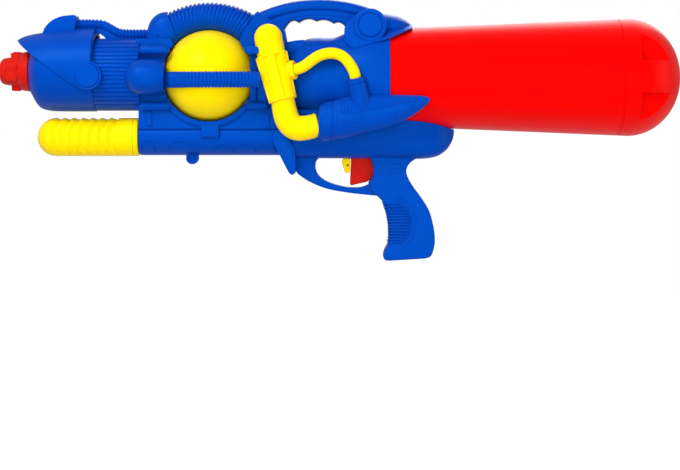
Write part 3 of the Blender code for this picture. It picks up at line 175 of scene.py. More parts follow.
BARREL_R = 36.6
BARREL_Z = 1.2
BARREL_X0 = 88.0
BARREL_CORE_R = 35.6
RIB_ROWS = 8
RIB_PITCH = 4.0
RIB = ((1.70, 0.95), (1.52, 0.15), (1.25, 0), (-1.25, 0), (-1.52, 0.15), (-1.70, 0.95))
RIBS_X0 = 97.6
RIBS_X1 = 142.0
rib_side = []
for k in range(RIB_ROWS, -RIB_ROWS - 1, -1):
    for dz, deep in RIB:
        z = k * RIB_PITCH + dz
        rib_side.append((-math.sqrt(BARREL_R**2 - z**2) + deep, BARREL_Z + z))
top = arc(0, BARREL_Z, BARREL_R - 0.3, 67, 113, 10)
bottom = arc(0, BARREL_Z, BARREL_R - 0.6, 247, 293, 10)
ribs = top + rib_side + bottom + [(-y, z) for y, z in reversed(rib_side)]
bm = bmesh.new()
plate(bm, ribs, RIBS_X0, RIBS_X1, rim=0.4, axis="X", segments=2)
barrel_x1 = RIBS_X1 - 1
barrel_core = [(BARREL_X0, 0), (BARREL_X0, BARREL_CORE_R), (barrel_x1, BARREL_CORE_R), (barrel_x1, 0)]
turned(bm, barrel_core, (0, 0, BARREL_Z))
blue(bm, "ribbed_barrel")


# Cage at the back of the barrel: end collars of the ball bands with bars above and below them.
# Moulded in one with the shells; the gaps between bars and collar are open down to the core.
CAGE_X0 = 138.0
CAGE_X1 = 167.0
CAGE_R = 27.0
CORE_X1 = 172.0
CORE_TOP = 36.5
CORE_LOW = -34.0
CORE_HALF = 17.5
COLLAR_X0 = 128.2
COLLAR_X1 = 168.0
COLLAR_Y = 30.5
COLLAR_Z = -1.7
COLLAR_R = 17.5
COLLAR_NOSE = 17.0
BAR_R = 4.2
BARS = ((141.5, 172.6, 26.8, 24.9), (141.5, 173.2, 22.4, -30.1))
BALL_X = 209.5
BALL_ROOM = 46.2


def dome(x, long, r, step, end=90):
    """A profile of (along, radius) that rounds off from the tip at x."""
    angles = [math.radians(a) for a in range(0, end + 1, step)]
    return [(x + long - long * math.cos(a), r * math.sin(a)) for a in angles]


def pill(bm, x0, x1, y, z, r):
    """A bar along X with round ends."""
    left = dome(x0, r, r, 10)
    right = [(x0 + x1 - along, out) for along, out in reversed(left)]
    turned(bm, left + right, (0, y, z), steps=32)


def smooth(points, per):
    """A smooth run through points of any size, with per steps between each two."""
    points = [Vector(p) for p in points]
    out = []
    for i in range(len(points) - 1):
        a, b = points[max(i - 1, 0)], points[i]
        c, d = points[i + 1], points[min(i + 2, len(points) - 1)]
        square, cube = 2 * a - 5 * b + 4 * c - d, 3 * b - a - 3 * c + d
        for t in [k / per for k in range(per)]:
            out.append(0.5 * (2 * b + (c - a) * t + square * t**2 + cube * t**3))
    return out + [points[-1]]


bm = bmesh.new()
cage = [(CAGE_X0, 0), (CAGE_X0, CAGE_R), (CAGE_X1 - 2.5, CAGE_R), (CAGE_X1, CAGE_R - 3), (CAGE_X1, 0)]
turned(bm, cage, (0, 0, BARREL_Z))
core = [(CORE_X1, CORE_TOP), (CAGE_X0, CORE_TOP), (CAGE_X0, CORE_LOW), (CORE_X1, CORE_LOW)]
plate(bm, core + arc(BALL_X, 0, BALL_ROOM, 224, 138, 24), -CORE_HALF, CORE_HALF)
collar = dome(COLLAR_X0, COLLAR_NOSE, COLLAR_R, 6)
collar += smooth([(151.0, COLLAR_R), (157.0, 17.2), (162.0, 16.2), (166.0, 14.8), (COLLAR_X1, 13.6)], 4)
collar += [(COLLAR_X1, 12.6), (COLLAR_X1 - 8, 12.2), (COLLAR_X1 - 8, 0)]
for side in SIDES:
    turned(bm, collar, (0, side * COLLAR_Y, COLLAR_Z))
    for x0, x1, y, z in BARS:
        pill(bm, x0, x1, side * y, z, BAR_R)
blue(bm, "ball_cage")


# Rear cowl, the domed socket that the arch hose comes out of.
# Moulded in one with the shells, and hollow in the real toy.
def ring(sides, power=1.0):
    """A unit section: round at power 1, squarer below it."""
    points = []
    for i in range(sides):
        c, s = math.cos(math.tau * i / sides), math.sin(math.tau * i / sides)
        points.append((math.copysign(abs(c) ** power, c), math.copysign(abs(s) ** power, s)))
    return points


def station(centre, ahead, up, wide, high):
    """Where a section stands: its middle, the way it faces, and its half sizes."""
    ahead = Vector(ahead).normalized()
    across = Vector(up).cross(ahead).normalized()
    turn = Matrix((across * wide, ahead.cross(across) * high, ahead)).transposed().to_4x4()
    return Matrix.Translation(centre) @ turn


def upright(outer, inner, half, share=1.0):
    """A station across the toy between two points of its side view, which shrinks towards the inner one."""
    inner = Vector((inner[0], 0, inner[1]))
    up = (Vector((outer[0], 0, outer[1])) - inner) * share
    return station(inner + up / 2, up.cross((0, 1, 0)), up, half * share, up.length / 2)


def swept(bm, stations, section):
    """Carry a section from station to station, closed at both ends."""
    cap = bm.faces.new([bm.verts.new(stations[0] @ Vector((a, b, 0))) for a, b in section])
    first = cap
    for last, here in zip(stations, stations[1:]):
        grown = bmesh.ops.extrude_face_region(bm, geom=[cap])["geom"]
        if cap != first:
            bm.faces.remove(cap)
        cap = next(g for g in grown if isinstance(g, bmesh.types.BMFace))
        bmesh.ops.transform(bm, matrix=here @ last.inverted(), verts=cap.verts[:])


def mirror_y(v, side):
    """A point given on the +Y side, moved to either side."""
    return Vector((v[0], side * v[1], v[2]))


COWL = [(167.0, 64.2, 178.8, 35.0, 15.7), (160.0, 62.8, 177.0, 32.0, 16.6), (153.8, 58.6, 172.5, 29.0, 16.8),
        (149.8, 52.6, 166.0, 27.0, 16.2), (147.7, 45.5, 158.0, 26.0, 14.8), (147.0, 38.0, 150.0, 25.5, 12.6)]
COWL_BUTTON = [(0, 0), (0, 1.9), (0.6, 1.9), (1.1, 1.5), (1.1, 0.9), (0.3, 0.7), (0.3, 0)]
COWL_BUTTON_AT = (159.4, 16.0, 40.5)
bm = bmesh.new()
hood = [upright((p[0], p[1]), (p[2], p[3]), p[4]) for p in smooth(COWL, 6)]
swept(bm, [upright((167.0, 63.4), (178.8, 35.8), 14.9)] + hood, ring(56, 0.82))
for side in SIDES:
    turned(bm, COWL_BUTTON, mirror_y(COWL_BUTTON_AT, side), (0, side, 0), steps=32)
blue(bm, "rear_cowl")


# Pump housing under the ball: a web with a cradle for the ball, and the tube that the cylinder lies in.
# Moulded in one with the shells; low finger humps are on the tube, and a loop for a sling hangs below it.
PUMP_Z = -61.0
PUMP_TUBE_R = 18.2
PUMP_BORE_R = 12.7
PUMP_X0 = 140.0
PUMP_X1 = 292.0
TUBE_END = [(6, PUMP_BORE_R), (6, 5.4), (2, 5.4), (2, 13.0), (0, 13.0), (0, 16.6), (0.5, 17.7),
            (1.8, PUMP_TUBE_R)]
WEB_X0 = 140.7
WEB_Z = -29.0
WEB_ROOM = 50.0
WEB_FLOOR = -46.0
WEB_CORE = 13.6
WEB_HALF = 18.9
LEDGE_Z = -52.8
CRADLE_R = 51.0
CRADLE_ROOM = 45.5
CRADLE_HALF = 21.0
CRADLE_FOOT = [(202.5, -49), (202.5, -60.7), (220.4, -60.7), (220.4, -49)]
REAR_BAR = (246.9, 270.2, 23.2, -29.6)
REAR_BAR_R = 4.1
POST_IN = 17.0
POSTS = ((149.2, 154.0, -36.0, -49.8), (265.6, 270.2, -38.0, -51.6))
HUMPS = ((142, 156, -64), (168.3, 193.5, -64.5), (215, 234, -67), (236, 256, -67), (257, 276, -67))
HUMP_FOOT = -76.5
LOOP_X = 192.6
LOOP_Z = -82.0
LOOP_R = 6.2
LOOP_TOP = -72.0
LOOP_HALF = 3.4
LOOP_RING = [(-2.0, 6.1), (2.4, 6.1), (2.9, 5.6), (2.9, 4.5), (2.4, 4.1), (-2.0, 3.9), (-2.0, 6.1)]


def bead(bm, path, r, up=(0, 1, 0)):
    """A thin raised line along a path."""
    path = [Vector(p) for p in path]
    ways = [(b - a).normalized() for a, b in zip(path, path[1:])]
    ways = [ways[0]] + [(a + b).normalized() for a, b in zip(ways, ways[1:])] + [ways[-1]]
    swept(bm, [station(p, way, up, r, r) for p, way in zip(path, ways)], ring(10))


bm = bmesh.new()
web_top = [(WEB_X0, WEB_Z), (168, WEB_Z)] + arc(BALL_X, 0, WEB_ROOM, 215, 325, 40)
web_top += [(251, WEB_Z), (PUMP_X1, WEB_Z)]
plate(bm, web_top + [(PUMP_X1, WEB_FLOOR), (WEB_X0 + 1, WEB_FLOOR)], -WEB_CORE, WEB_CORE)
for side in SIDES:
    plate(bm, web_top + [(PUMP_X1, LEDGE_Z), (WEB_X0, LEDGE_Z)], side * (WEB_CORE - 0.2), side * WEB_HALF,
          rim=0.8, rims="far")
tube_end = [(PUMP_X0 + along, r) for along, r in TUBE_END]
turned(bm, tube_end + [(PUMP_X1, PUMP_TUBE_R), (PUMP_X1, PUMP_BORE_R)] + tube_end[:1], (0, 0, PUMP_Z))
cradle = arc(BALL_X, 0, CRADLE_R, 211, 329, 48) + arc(BALL_X, 0, CRADLE_ROOM, 329, 211, 48)
plate(bm, cradle, -CRADLE_HALF, CRADLE_HALF, rim=0.9, segments=3)
plate(bm, CRADLE_FOOT, -CRADLE_HALF - 0.5, CRADLE_HALF + 0.5, rim=1.2)
for side in SIDES:
    bead(bm, [(x, side * CRADLE_HALF, z) for x, z in arc(BALL_X, 0, CRADLE_R - 0.8, 212, 328, 48)], 0.6)
    for x0, x1, top, low in POSTS:
        plate(bm, [(x0, top), (x0, low), (x1, low), (x1, top)], side * POST_IN, side * CRADLE_HALF, rim=0.9)
    x0, x1, y, z = REAR_BAR
    pill(bm, x0, x1, side * y, z, REAR_BAR_R)
    for x0, x1, high in HUMPS:
        hump = []
        for a in [math.pi * i / 24 for i in range(25)]:
            z = HUMP_FOOT + (high - HUMP_FOOT) * math.sin(a)
            y = math.sqrt((PUMP_TUBE_R + 0.1) ** 2 - (z - PUMP_Z) ** 2)
            hump.append(((x0 + x1) / 2 - (x1 - x0) / 2 * math.cos(a), side * y, z))
        bead(bm, hump, 0.8)
loop = arc(LOOP_X, LOOP_Z, LOOP_R, 180, 360, 20)
loop += [(LOOP_X + LOOP_R, LOOP_TOP), (LOOP_X - LOOP_R, LOOP_TOP)]
plate(bm, loop, -LOOP_HALF, LOOP_HALF, rim=0.8)
for side in SIDES:
    turned(bm, LOOP_RING, (LOOP_X, side * LOOP_HALF, LOOP_Z), (0, side, 0), steps=40)
blue(bm, "pump_housing")


# Pressure ball, which stores the pumped-up water.
# Yellow plastic, blown in a mould that parts on the centre plane; it lies in the cradle under the arch.
YELLOW = moulded("yellow plastic", (1.0, 0.74, 0.0003), (0.98, 0.70, 0.0003), 0.32, (1, 0.9, 0.1))
BALL_R = 45.7
bm = bmesh.new()
half_ball = dome(-BALL_R, BALL_R, BALL_R, 2, 88)
seam = [(-0.5, BALL_R - 0.02), (-0.25, BALL_R + 0.12), (0.25, BALL_R + 0.12), (0.5, BALL_R - 0.02)]
turned(bm, half_ball + seam + [(-y, r) for y, r in reversed(half_ball)], (BALL_X, 0, 0), (0, 1, 0), steps=128)
made(bm, "blown_ball", YELLOW, "yellow_plastic", "body", "pressure_ball")


# Arch hose over the ball.
# Ribbed blue plastic, closed in its cowl at the front and against the yoke at the back; it hugs the ball.
ARCH_TOP = (210.0, -16.0, 89.5, -30.7, 33.9)
ARCH_FOOT = (BALL_X, 0.0, BALL_R - 0.4, -44.5, 41.9)
ARCH_HALF = 13.8
ARCH_RIBS = 23
ARCH_GROOVE = 0.06


def ribbed(bm, stations_at, ribs, deep, section):
    """A ribbed tube: stations_at gives a station from the way along and the share of the full radius."""
    per = 8
    stations = []
    for i in range(ribs * per + 1):
        groove = 0.5 + 0.5 * math.cos(math.tau * i / per)
        stations.append(stations_at(i / (ribs * per), 1 - deep * groove**2.5))
    swept(bm, stations, section)


def on_arch(way, share):
    """A station on the arch, between its outer curve and the one along the ball."""
    ends = []
    for x, z, r, start, end in (ARCH_TOP, ARCH_FOOT):
        a = math.radians(start + (end - start) * way)
        ends.append((x + r * math.sin(a), z + r * math.cos(a)))
    return upright(*ends, ARCH_HALF, share)


bm = bmesh.new()
ribbed(bm, on_arch, ARCH_RIBS, ARCH_GROOVE, ring(64))
made(bm, "ribbed_arch", BLUE, "blue_plastic", "body", "arch_hose")


# Ball bands, one on each side of the ball.
# Ribbed blue plastic half-tubes that come out of the collar, hug the ball and run on to the side pipe.
BAND_Z = -4.5
BAND_HALF = 8.0
BAND_OUT = 2.0
BAND_DEEP = 5.2
BAND_END = 262.5
BAND_SWEEP = math.radians(72)
BAND_RIBS = 33
BAND_GROOVE = 0.18


def on_band(side):
    """Stations along one band: round the ball to its widest point, then straight back."""
    turn_r = BALL_R + BAND_OUT
    round_long = turn_r * BAND_SWEEP
    total = round_long + BAND_END - BALL_X

    def at(way, share):
        gone = way * total
        if gone < round_long:
            a = BAND_SWEEP - gone / turn_r
            centre = (BALL_X - turn_r * math.sin(a), side * turn_r * math.cos(a), BAND_Z)
            ahead = (math.cos(a), side * math.sin(a), 0)
        else:
            centre = (BALL_X + gone - round_long, side * turn_r, BAND_Z)
            ahead = (1, 0, 0)
        return station(centre, ahead, (0, 0, 1), BAND_DEEP * share, BAND_HALF * (0.5 + 0.5 * share))

    return at


for side, node in ((-1, "ball_band_left"), (1, "ball_band_right")):
    bm = bmesh.new()
    ribbed(bm, on_band(side), BAND_RIBS, BAND_GROOVE, ring(48))
    made(bm, node.replace("ball_band", "ribbed_band"), BLUE, "blue_plastic", "body", node)


# Yoke behind the ball, with the strip that holds the ball back and a peg on each side that the pipe leans on.
# Moulded in one with the shells; a raised border runs round its flat sides.
YOKE_HALF = 21.0
YOKE_CORE = 16.5
PEG_R = 3.8
PEG_X0 = 250.6
PEG_X1 = 258.0
PEG_Z = 24.0
PEG_IN = 18.0
PEG_OUT = 48.5


def face_at(bm, y):
    """The largest flat face that lies across the toy at y."""
    flat = [f for f in bm.faces if all(abs(v.co.y - y) < 0.001 for v in f.verts)]
    return max(flat, key=lambda f: f.calc_area())


def panel(bm, y, border, deep):
    """Sink a flat side into a panel with a raised border."""
    face = face_at(bm, y)
    bmesh.ops.inset_region(bm, faces=[face], thickness=border, use_even_offset=True)
    bmesh.ops.inset_region(bm, faces=[face], thickness=deep, depth=-deep, use_even_offset=True)


bm = bmesh.new()
yoke = [(258.9, 63.4), (256.6, 62.0), (240.6, 34.2), (241.0, 32.2), (246.6, 25.0), (251.2, 18.0),
        (251.2, -25.5), (257.2, -25.5), (257.2, 4.0), (287.6, 20.0), (287.4, 32.6), (284.9, 45.6)]
plate(bm, yoke, -YOKE_HALF, YOKE_HALF, rim=0.9)
for side in SIDES:
    panel(bm, side * YOKE_HALF, 1.5, 0.6)
    peg = arc(PEG_X0, PEG_Z, PEG_R, 90, 270, 16) + arc(PEG_X1, PEG_Z, PEG_R, -90, 90, 16)
    plate(bm, peg, side * PEG_IN, side * PEG_OUT, rim=1.6, rims="far")
back = [(250, -44), (300, -44), (310, 30), (304, 35.4), (297, 35.0), (287, 33.2), (284, 40), (254, 40)]
plate(bm, arc(BALL_X, 0, BALL_ROOM, 35, -40, 24) + back, -YOKE_CORE, YOKE_CORE)
blue(bm, "yoke")


# Side pipes, mock plumbing in front of the body.
# Yellow moulded plastic, pushed on between the yoke and the side pod; the fluted collar has a foot ring.
PIPE_R = 13.8
PIPE_TOP = Vector((270.0, 38.0, 36.3))
COLLAR_TOP = Vector((273.0, 40.0, 19.9))
COLLAR_FOOT = Vector((284.5, 43.0, -25.0))
PIPE_COLLAR = [(0.0, 15.0), (0.012, 15.8), (0.03, 16.0), (0.93, 13.9)]
PIPE_CORE = [(0.0, 0), (0.0, 14.6), (0.01, 15.4), (0.022, 15.8), (0.035, 15.6), (0.045, 12.6), (0.91, 11.0),
             (0.92, 13.6), (0.935, 14.2), (0.985, 14.0), (1.0, 13.2), (1.0, 0)]
PIPE_BEND = [(283.9, 43.0, -22.5), (284.9, 43.3, -28.0), (285.8, 43.7, -33.2), (287.6, 44.0, -40.5),
             (290.2, 44.0, -45.8), (294.0, 44.0, -49.8), (299.1, 44.0, -51.9), (306.0, 44.0, -51.6),
             (312.5, 44.0, -50.2), (319.2, 44.0, -48.4)]
PIPE_END = [11.3, 11.8, 11.6, 10.6]
FLUTES = 8
FLUTE_STEPS = 12
FLUTE_DEEP = 0.18
TEE_FOOT = (280.5, 42.2, 2.4)
TEE_END = (296.6, 46.5, 5.2)
TEE_R = 8.3
TEE = [(-4.6, TEE_R), (-4.2, 9.3), (-0.6, 9.3), (0, 8.7), (0, 6.4), (-1.0, 5.8), (-1.0, 0)]


def tube(bm, stops, sides=48):
    """A round tube through stops of (x, y, z, radius)."""
    stops = [Vector(s) for s in stops]
    ways = []
    for i in range(len(stops)):
        way = (stops[min(i + 1, len(stops) - 1)] - stops[max(i - 1, 0)]).xyz
        ways.append(way if way.length > 1e-6 else ways[-1])
    swept(bm, [station(s.xyz, way, (0, 1, 0), s.w, s.w) for s, way in zip(stops, ways)], ring(sides))


fluted = []
for i, (a, b) in enumerate(ring(FLUTE_STEPS * FLUTES)):
    share = 1 - FLUTE_DEEP if 3 < i % FLUTE_STEPS < 9 else 1.0
    fluted.append((a * share, b * share))
for side, node in ((-1, "side_pipe_left"), (1, "side_pipe_right")):
    bm = bmesh.new()
    top, high, low = [mirror_y(p, side) for p in (PIPE_TOP, COLLAR_TOP, COLLAR_FOOT)]
    long = (high - top).length + 2
    turned(bm, dome(-PIPE_R, PIPE_R, PIPE_R, 6) + [(long, PIPE_R), (long, 0)], top, high - top)
    fall = low - high
    swept(bm, [station(high + fall * t, fall, (0, 1, 0), r, r) for t, r in PIPE_COLLAR], fluted)
    turned(bm, [(t * fall.length, r) for t, r in PIPE_CORE], high, fall)
    path = smooth(PIPE_BEND, 5)
    swell = [math.sin(math.pi * i / len(path)) for i in range(len(path) - len(PIPE_END))]
    radii = [PIPE_END[0] + more for more in swell] + PIPE_END
    tube(bm, [(p.x, side * p.y, p.z, r) for p, r in zip(path, radii)])
    foot, end = mirror_y(TEE_FOOT, side), mirror_y(TEE_END, side)
    long = (end - foot).length
    turned(bm, [(0, 0), (0, TEE_R)] + [(long + along, r) for along, r in TEE], foot, end - foot, steps=64)
    made(bm, node.replace("side_pipe", "fluted_pipe"), YELLOW, "yellow_plastic", "body", node)


# Branch hoses from the side pipes back to the stubs on the pods.
# Soft yellow plastic, pushed over both ends.
BRANCH_R = 5.5
BRANCH = [(295.7, 46.3, 5.0), (300.5, 47.4, 6.2), (306.0, 48.0, 8.9), (313.3, 48.2, 14.4),
          (320.6, 48.4, 18.8), (329.6, 48.6, 20.9), (339.0, 49.4, 19.6), (345.8, 50.8, 14.9),
          (351.2, 52.2, 7.5), (354.0, 53.2, 1.5), (355.0, 52.6, -2.8)]
for side, node in ((-1, "branch_hose_left"), (1, "branch_hose_right")):
    bm = bmesh.new()
    tube(bm, [(p.x, side * p.y, p.z, BRANCH_R) for p in smooth(BRANCH, 6)], sides=40)
    made(bm, node.replace("branch_hose", "soft_branch"), YELLOW, "yellow_plastic", "body", node)


# Middle of the body: a ball-shaped bulge that widens into the socket for the tank.
# Moulded in one with the shells; the tank's neck screws into the white socket inside.
TANK_Z = -1.5
BULGE_X = 319.5
BULGE_LONG = 42.0
BULGE_HIGH = 39.9
BULGE_WIDER = 0.1
BULGE_END = 350.0
BULGE_FADE = 18.0
SOCKET_X1 = 389.0
SOCKET_R = 51.2
SOCKET_WALL_R = 49.6
SOCKET_BACK = 381.0
SOCKET_BORE_R = 27.0
SOCKET_FLOOR = 352.0
bm = bmesh.new()
middle = dome(BULGE_X - BULGE_LONG, BULGE_LONG, BULGE_HIGH, 4, 96)
middle += smooth([middle[-1], (333.5, 39.7), (339.5, 41.4), (345.5, 44.1), (352.0, 46.2)], 5)[1:]
middle += [(SOCKET_X1 - 1.2, SOCKET_R - 0.1), (SOCKET_X1 - 0.3, SOCKET_R - 0.4), (SOCKET_X1, SOCKET_R - 1.0),
           (SOCKET_X1, SOCKET_WALL_R), (SOCKET_BACK, SOCKET_WALL_R - 0.3), (SOCKET_BACK, SOCKET_BORE_R),
           (SOCKET_FLOOR, SOCKET_BORE_R), (SOCKET_FLOOR, 0)]
turned(bm, middle, (0, 0, TANK_Z))
for v in bm.verts:
    v.co.y *= 1 + BULGE_WIDER * min(max((BULGE_END - v.co.x) / BULGE_FADE, 0), 1)
blue(bm, "middle_body")


# Carrying handle: a round rail with a web under it, scalloped for four fingers.
# Moulded in one with the shells.
HANDLE_R = 148.0
HANDLE_X = 320.0
HANDLE_Z = -71.55
HANDLE_HALF = 13.0
RAIL = 6.6
WEB_THIN = 10.6
BORDER_DEEP = 15.6
FINGERS = [(347.5, 46.5), (334.0, 52.4), (316.6, 54.6), (299.0, 53.0), (284.6, 46.5)]
FINGER_RISES = (3.8, 2.6, 3.2, 5.2)


def bow(a, b, rise):
    """A shallow arch from a to b, without its last point."""
    points = []
    for t in [i / 10 for i in range(10)]:
        points.append((a[0] + (b[0] - a[0]) * t, a[1] + (b[1] - a[1]) * t + rise * 4 * t * (1 - t)))
    return points


bm = bmesh.new()
rail = []
for x, z in arc(HANDLE_X, HANDLE_Z, HANDLE_R - RAIL, 115, 64, 40):
    along = (z - HANDLE_Z, 0, HANDLE_X - x)
    rail.append(station((x, 0, z), along, (0, 1, 0), RAIL, HANDLE_HALF))
swept(bm, rail, ring(40, 0.75))
window = []
for a, b, rise in zip(FINGERS, FINGERS[1:], FINGER_RISES):
    window += bow(a, b, rise)
web = arc(HANDLE_X, HANDLE_Z, HANDLE_R - RAIL - 2, 113.5, 68, 30) + [(352, 40), (347.5, 38)]
plate(bm, web + window + [(284.4, 46), (285, 28), (262, 28)], -WEB_THIN, WEB_THIN, rim=1.6)
border = arc(HANDLE_X, HANDLE_Z, HANDLE_R - BORDER_DEEP, 111.5, 76, 40)
for side in SIDES:
    bead(bm, [(x, side * (WEB_THIN - 0.1), z) for x, z in border], 0.55)
blue(bm, "carrying_handle")


# Hub, bracket and tongue that clasp the front of the tank from above.
# Moulded in one with the shells; the tongue rests just clear of the tank, so that it can be unscrewed.
HUB_X = 369.6
HUB_Z = 49.0
BRACKET_HALF = 38.0
BRACKET_LEAN = 0.0125
BRACKET_LEAN_Z = 40.0
SADDLE_CUTS = [((388.3, 0, 36.0), (0.338, 0, -1)), ((388.3, 0, 36.0), (0.463, 0, -1))]
TONGUE_X = 388.7
TONGUE_Z = 49.4
TONGUE_FALL = 0.06
TONGUE_WIDER = 2.3
TANK_FRONT = 383.0
TANK_R0 = 48.4
TANK_R1 = 58.5
TANK_DOME_X = 627.0
TANK_TIP_X = 679.0
TANK_CLEAR = 0.8


def tank_r(x):
    """Radius of the tank's tapered wall."""
    return TANK_R0 + (TANK_R1 - TANK_R0) * (x - TANK_FRONT) / (TANK_DOME_X - TANK_FRONT)


def off_tank(bm, start=SOCKET_X1 - 0.5):
    """Push points behind the start that lie in the tank out to just clear of it."""
    for v in bm.verts:
        out = Vector((0, v.co.y, v.co.z - TANK_Z))
        room = max(tank_r(v.co.x) + TANK_CLEAR, SOCKET_WALL_R + 0.2)
        if v.co.x > start and out.length < room:
            v.co += out * (room / max(out.length, 1e-6) - 1)


def trimmed(bm, cuts):
    """Cut a form with planes, each given by a point and the way to what falls off, and round the cut rims."""
    for spot, away in cuts:
        whole = bm.verts[:] + bm.edges[:] + bm.faces[:]
        cut = bmesh.ops.bisect_plane(bm, geom=whole, plane_co=spot, plane_no=away,
                                     clear_outer=True)["geom_cut"]
        edges = [g for g in cut if isinstance(g, bmesh.types.BMEdge)]
        filled = bmesh.ops.edgenet_fill(bm, edges=edges)["faces"]
        bmesh.ops.bevel(bm, geom=[e for f in filled for e in f.edges], offset=0.5, offset_type="OFFSET",
                        segments=3, profile=0.5, affect="EDGES", clamp_overlap=True, material=-1)


bm = bmesh.new()
bracket = [(344.3, 46.0), (344.3, 34.4), (345.4, 31.0), (350.6, 26.3), (354.4, 25.4), (381.2, 33.4),
           (381.2, 61.0), (374.0, 64.2), (360.0, 62.6), (350.0, 55.5)]
plate(bm, bracket, -BRACKET_HALF, BRACKET_HALF, rim=1.6)
for v in bm.verts:
    v.co.y *= 1 - BRACKET_LEAN * max(v.co.z - BRACKET_LEAN_Z, 0)
hub = [(2, 0), (2, 16.2), (37.0, 16.2), (37.6, 15.9), (37.9, 15.3), (37.9, 12.7), (37.2, 12.3), (37.2, 11.9),
       (38.3, 11.4), (38.9, 10.6), (39.0, 0)]
for side in SIDES:
    turned(bm, hub, (HUB_X, 0, HUB_Z), (0, side, 0))
blue(bm, "bracket_and_hub")
bm = bmesh.new()
saddle = [(379.0, 49.8), (388.6, 49.8), (411.6, 50.4), (411.6, 52.2), (405.0, 53.0), (389.0, 53.6),
          (379.0, 52.4)]
turned(bm, saddle + saddle[:1], (0, 0, TANK_Z), steps=128)
bmesh.ops.remove_doubles(bm, verts=bm.verts, dist=MERGED)
trimmed(bm, SADDLE_CUTS)
blue(bm, "saddle")
bm = bmesh.new()
nose = smooth([(-9.6, 12.2), (-1.0, 12.2), (-0.4, 11.3), (0.6, 11.6), (6, 11.2), (11, 10.0), (15, 8.4),
               (18.5, 6.4), (21.5, 4.0), (23.2, 2.0), (24.0, 0.4)], 4)
tongue = []
for along, r in nose:
    here = (TONGUE_X + along, 0, TONGUE_Z - TONGUE_FALL * along)
    tongue.append(station(here, (1, 0, 0), (0, 0, 1), r * TONGUE_WIDER, r))
swept(bm, tongue, ring(72, 0.9))
off_tank(bm, SOCKET_BACK)
blue(bm, "tongue")


# Side pods, with a stub on top for the branch hose.
# Moulded in one with the shells: a collar, a few upright ribs, and a flank that thins out along the tank.
POD = [(318.6, -45.4, 14.2, 43.0, 11.0), (319.6, -45.5, 16.2, 43.3, 12.6), (322.0, -45.5, 17.3, 43.6, 13.6),
       (330.0, -44.8, 18.3, 44.0, 14.0), (345.0, -41.4, 19.9, 44.5, 13.8), (365.0, -38.0, 18.6, 45.0, 12.5),
       (383.7, -35.7, 16.6, 46.0, 10.8), (405.0, -31.2, 11.7, 48.0, 8.5), (415.7, -28.0, 8.1, 49.0, 6.2),
       (422.4, -25.6, 4.9, 49.7, 3.8), (426.4, -24.5, 1.9, 50.1, 1.6), (427.2, -24.3, 0.6, 50.2, 0.6)]
POD_COLLAR = [(322.4, 0.2), (323.2, 0.8), (331.4, 0.8), (332.2, 0.1), (333.4, 0.1), (334.0, 0.7),
              (336.4, 0.7), (337.2, -0.3)]
STUB = [(0.6, 0), (0.6, 5.9), (0.0, 6.4), (0.0, 8.4), (0.5, 9.2), (4.6, 9.2), (5.2, 8.6), (6.0, 8.6),
        (6.6, 9.2)]
STUB_R = 9.7
STUB_TOP = (355.0, 52.5, -2.6)
STUB_FOOT = (363.6, 47.0, -40.0)
POD_LEAN = -0.06
POD_RIBS = (340.2, 343.4, 346.6, 349.8)
POD_SEAMS = (384.0, 389.0)
pod_line = smooth(POD, 5)


def run(x, z, dx, dz, count):
    """Points in a straight row, from the first by equal steps."""
    return [(x + dx * k, z + dz * k) for k in range(count)]


def pod_at(x, z, side, lift):
    """The point on the outer flank of a pod at x and z."""
    for a, b in zip(pod_line, pod_line[1:]):
        if a[0] <= x <= b[0]:
            here = a.lerp(b, (x - a[0]) / (b[0] - a[0]))
    share = max(1 - ((z - here[1]) / here[2]) ** 2, 0.0)
    return Vector((x, side * (here[3] + here[4] * math.sqrt(share) + lift), z))


# Each raised line of a pod: its points in the side view, thickness, lift, and the way its section stands.
pod_lines = [(run(x, -24.5, 0, -1.2, 12), 1.0, -0.3, (1, 0, 0)) for x in POD_RIBS]
pod_lines.append((run(352.0, -37.0, 2.0, 0.42, 31), 0.8, -0.1, (0, 1, 0)))
corner = run(338.5, -45.0, 1, 0, 19) + run(358.0, -44.2, 0.5, 0.8, 8)
pod_lines.append((corner, 0.8, -0.1, (0, 1, 0)))
pod_lines += [(run(x, -49.5, 0.45, 1.1, 12), 0.7, -0.1, (1, 0, 0)) for x in POD_SEAMS]
pod_lines.append((run(409.5, -38.0, 0.05, 1.1, 15), 0.9, -0.1, (1, 0, 0)))
for side, name in ((-1, "left_pod"), (1, "right_pod")):
    bm = bmesh.new()
    flank = []
    for x, z, high, y, wide in pod_line:
        flank.append(station((x, side * y, z), (1, 0, POD_LEAN if x < 335 else 0), (0, 0, 1), wide, high))
    swept(bm, flank, ring(64))
    collar = []
    for x, grow in POD_COLLAR:
        here = (x, side * 44.1, -44.8 + 0.13 * (x - 330))
        collar.append(station(here, (1, 0, POD_LEAN), (0, 0, 1), 14.1 + grow, 18.5 + grow))
    swept(bm, collar, ring(64))
    off_tank(bm)
    for line, r, lift, up in pod_lines:
        bead(bm, [pod_at(x, z, side, lift) for x, z in line], r, up)
    top, foot = mirror_y(STUB_TOP, side), mirror_y(STUB_FOOT, side)
    long = (foot - top).length
    turned(bm, STUB + [(long, STUB_R), (long, 0)], top, foot - top, steps=64)
    blue(bm, name)


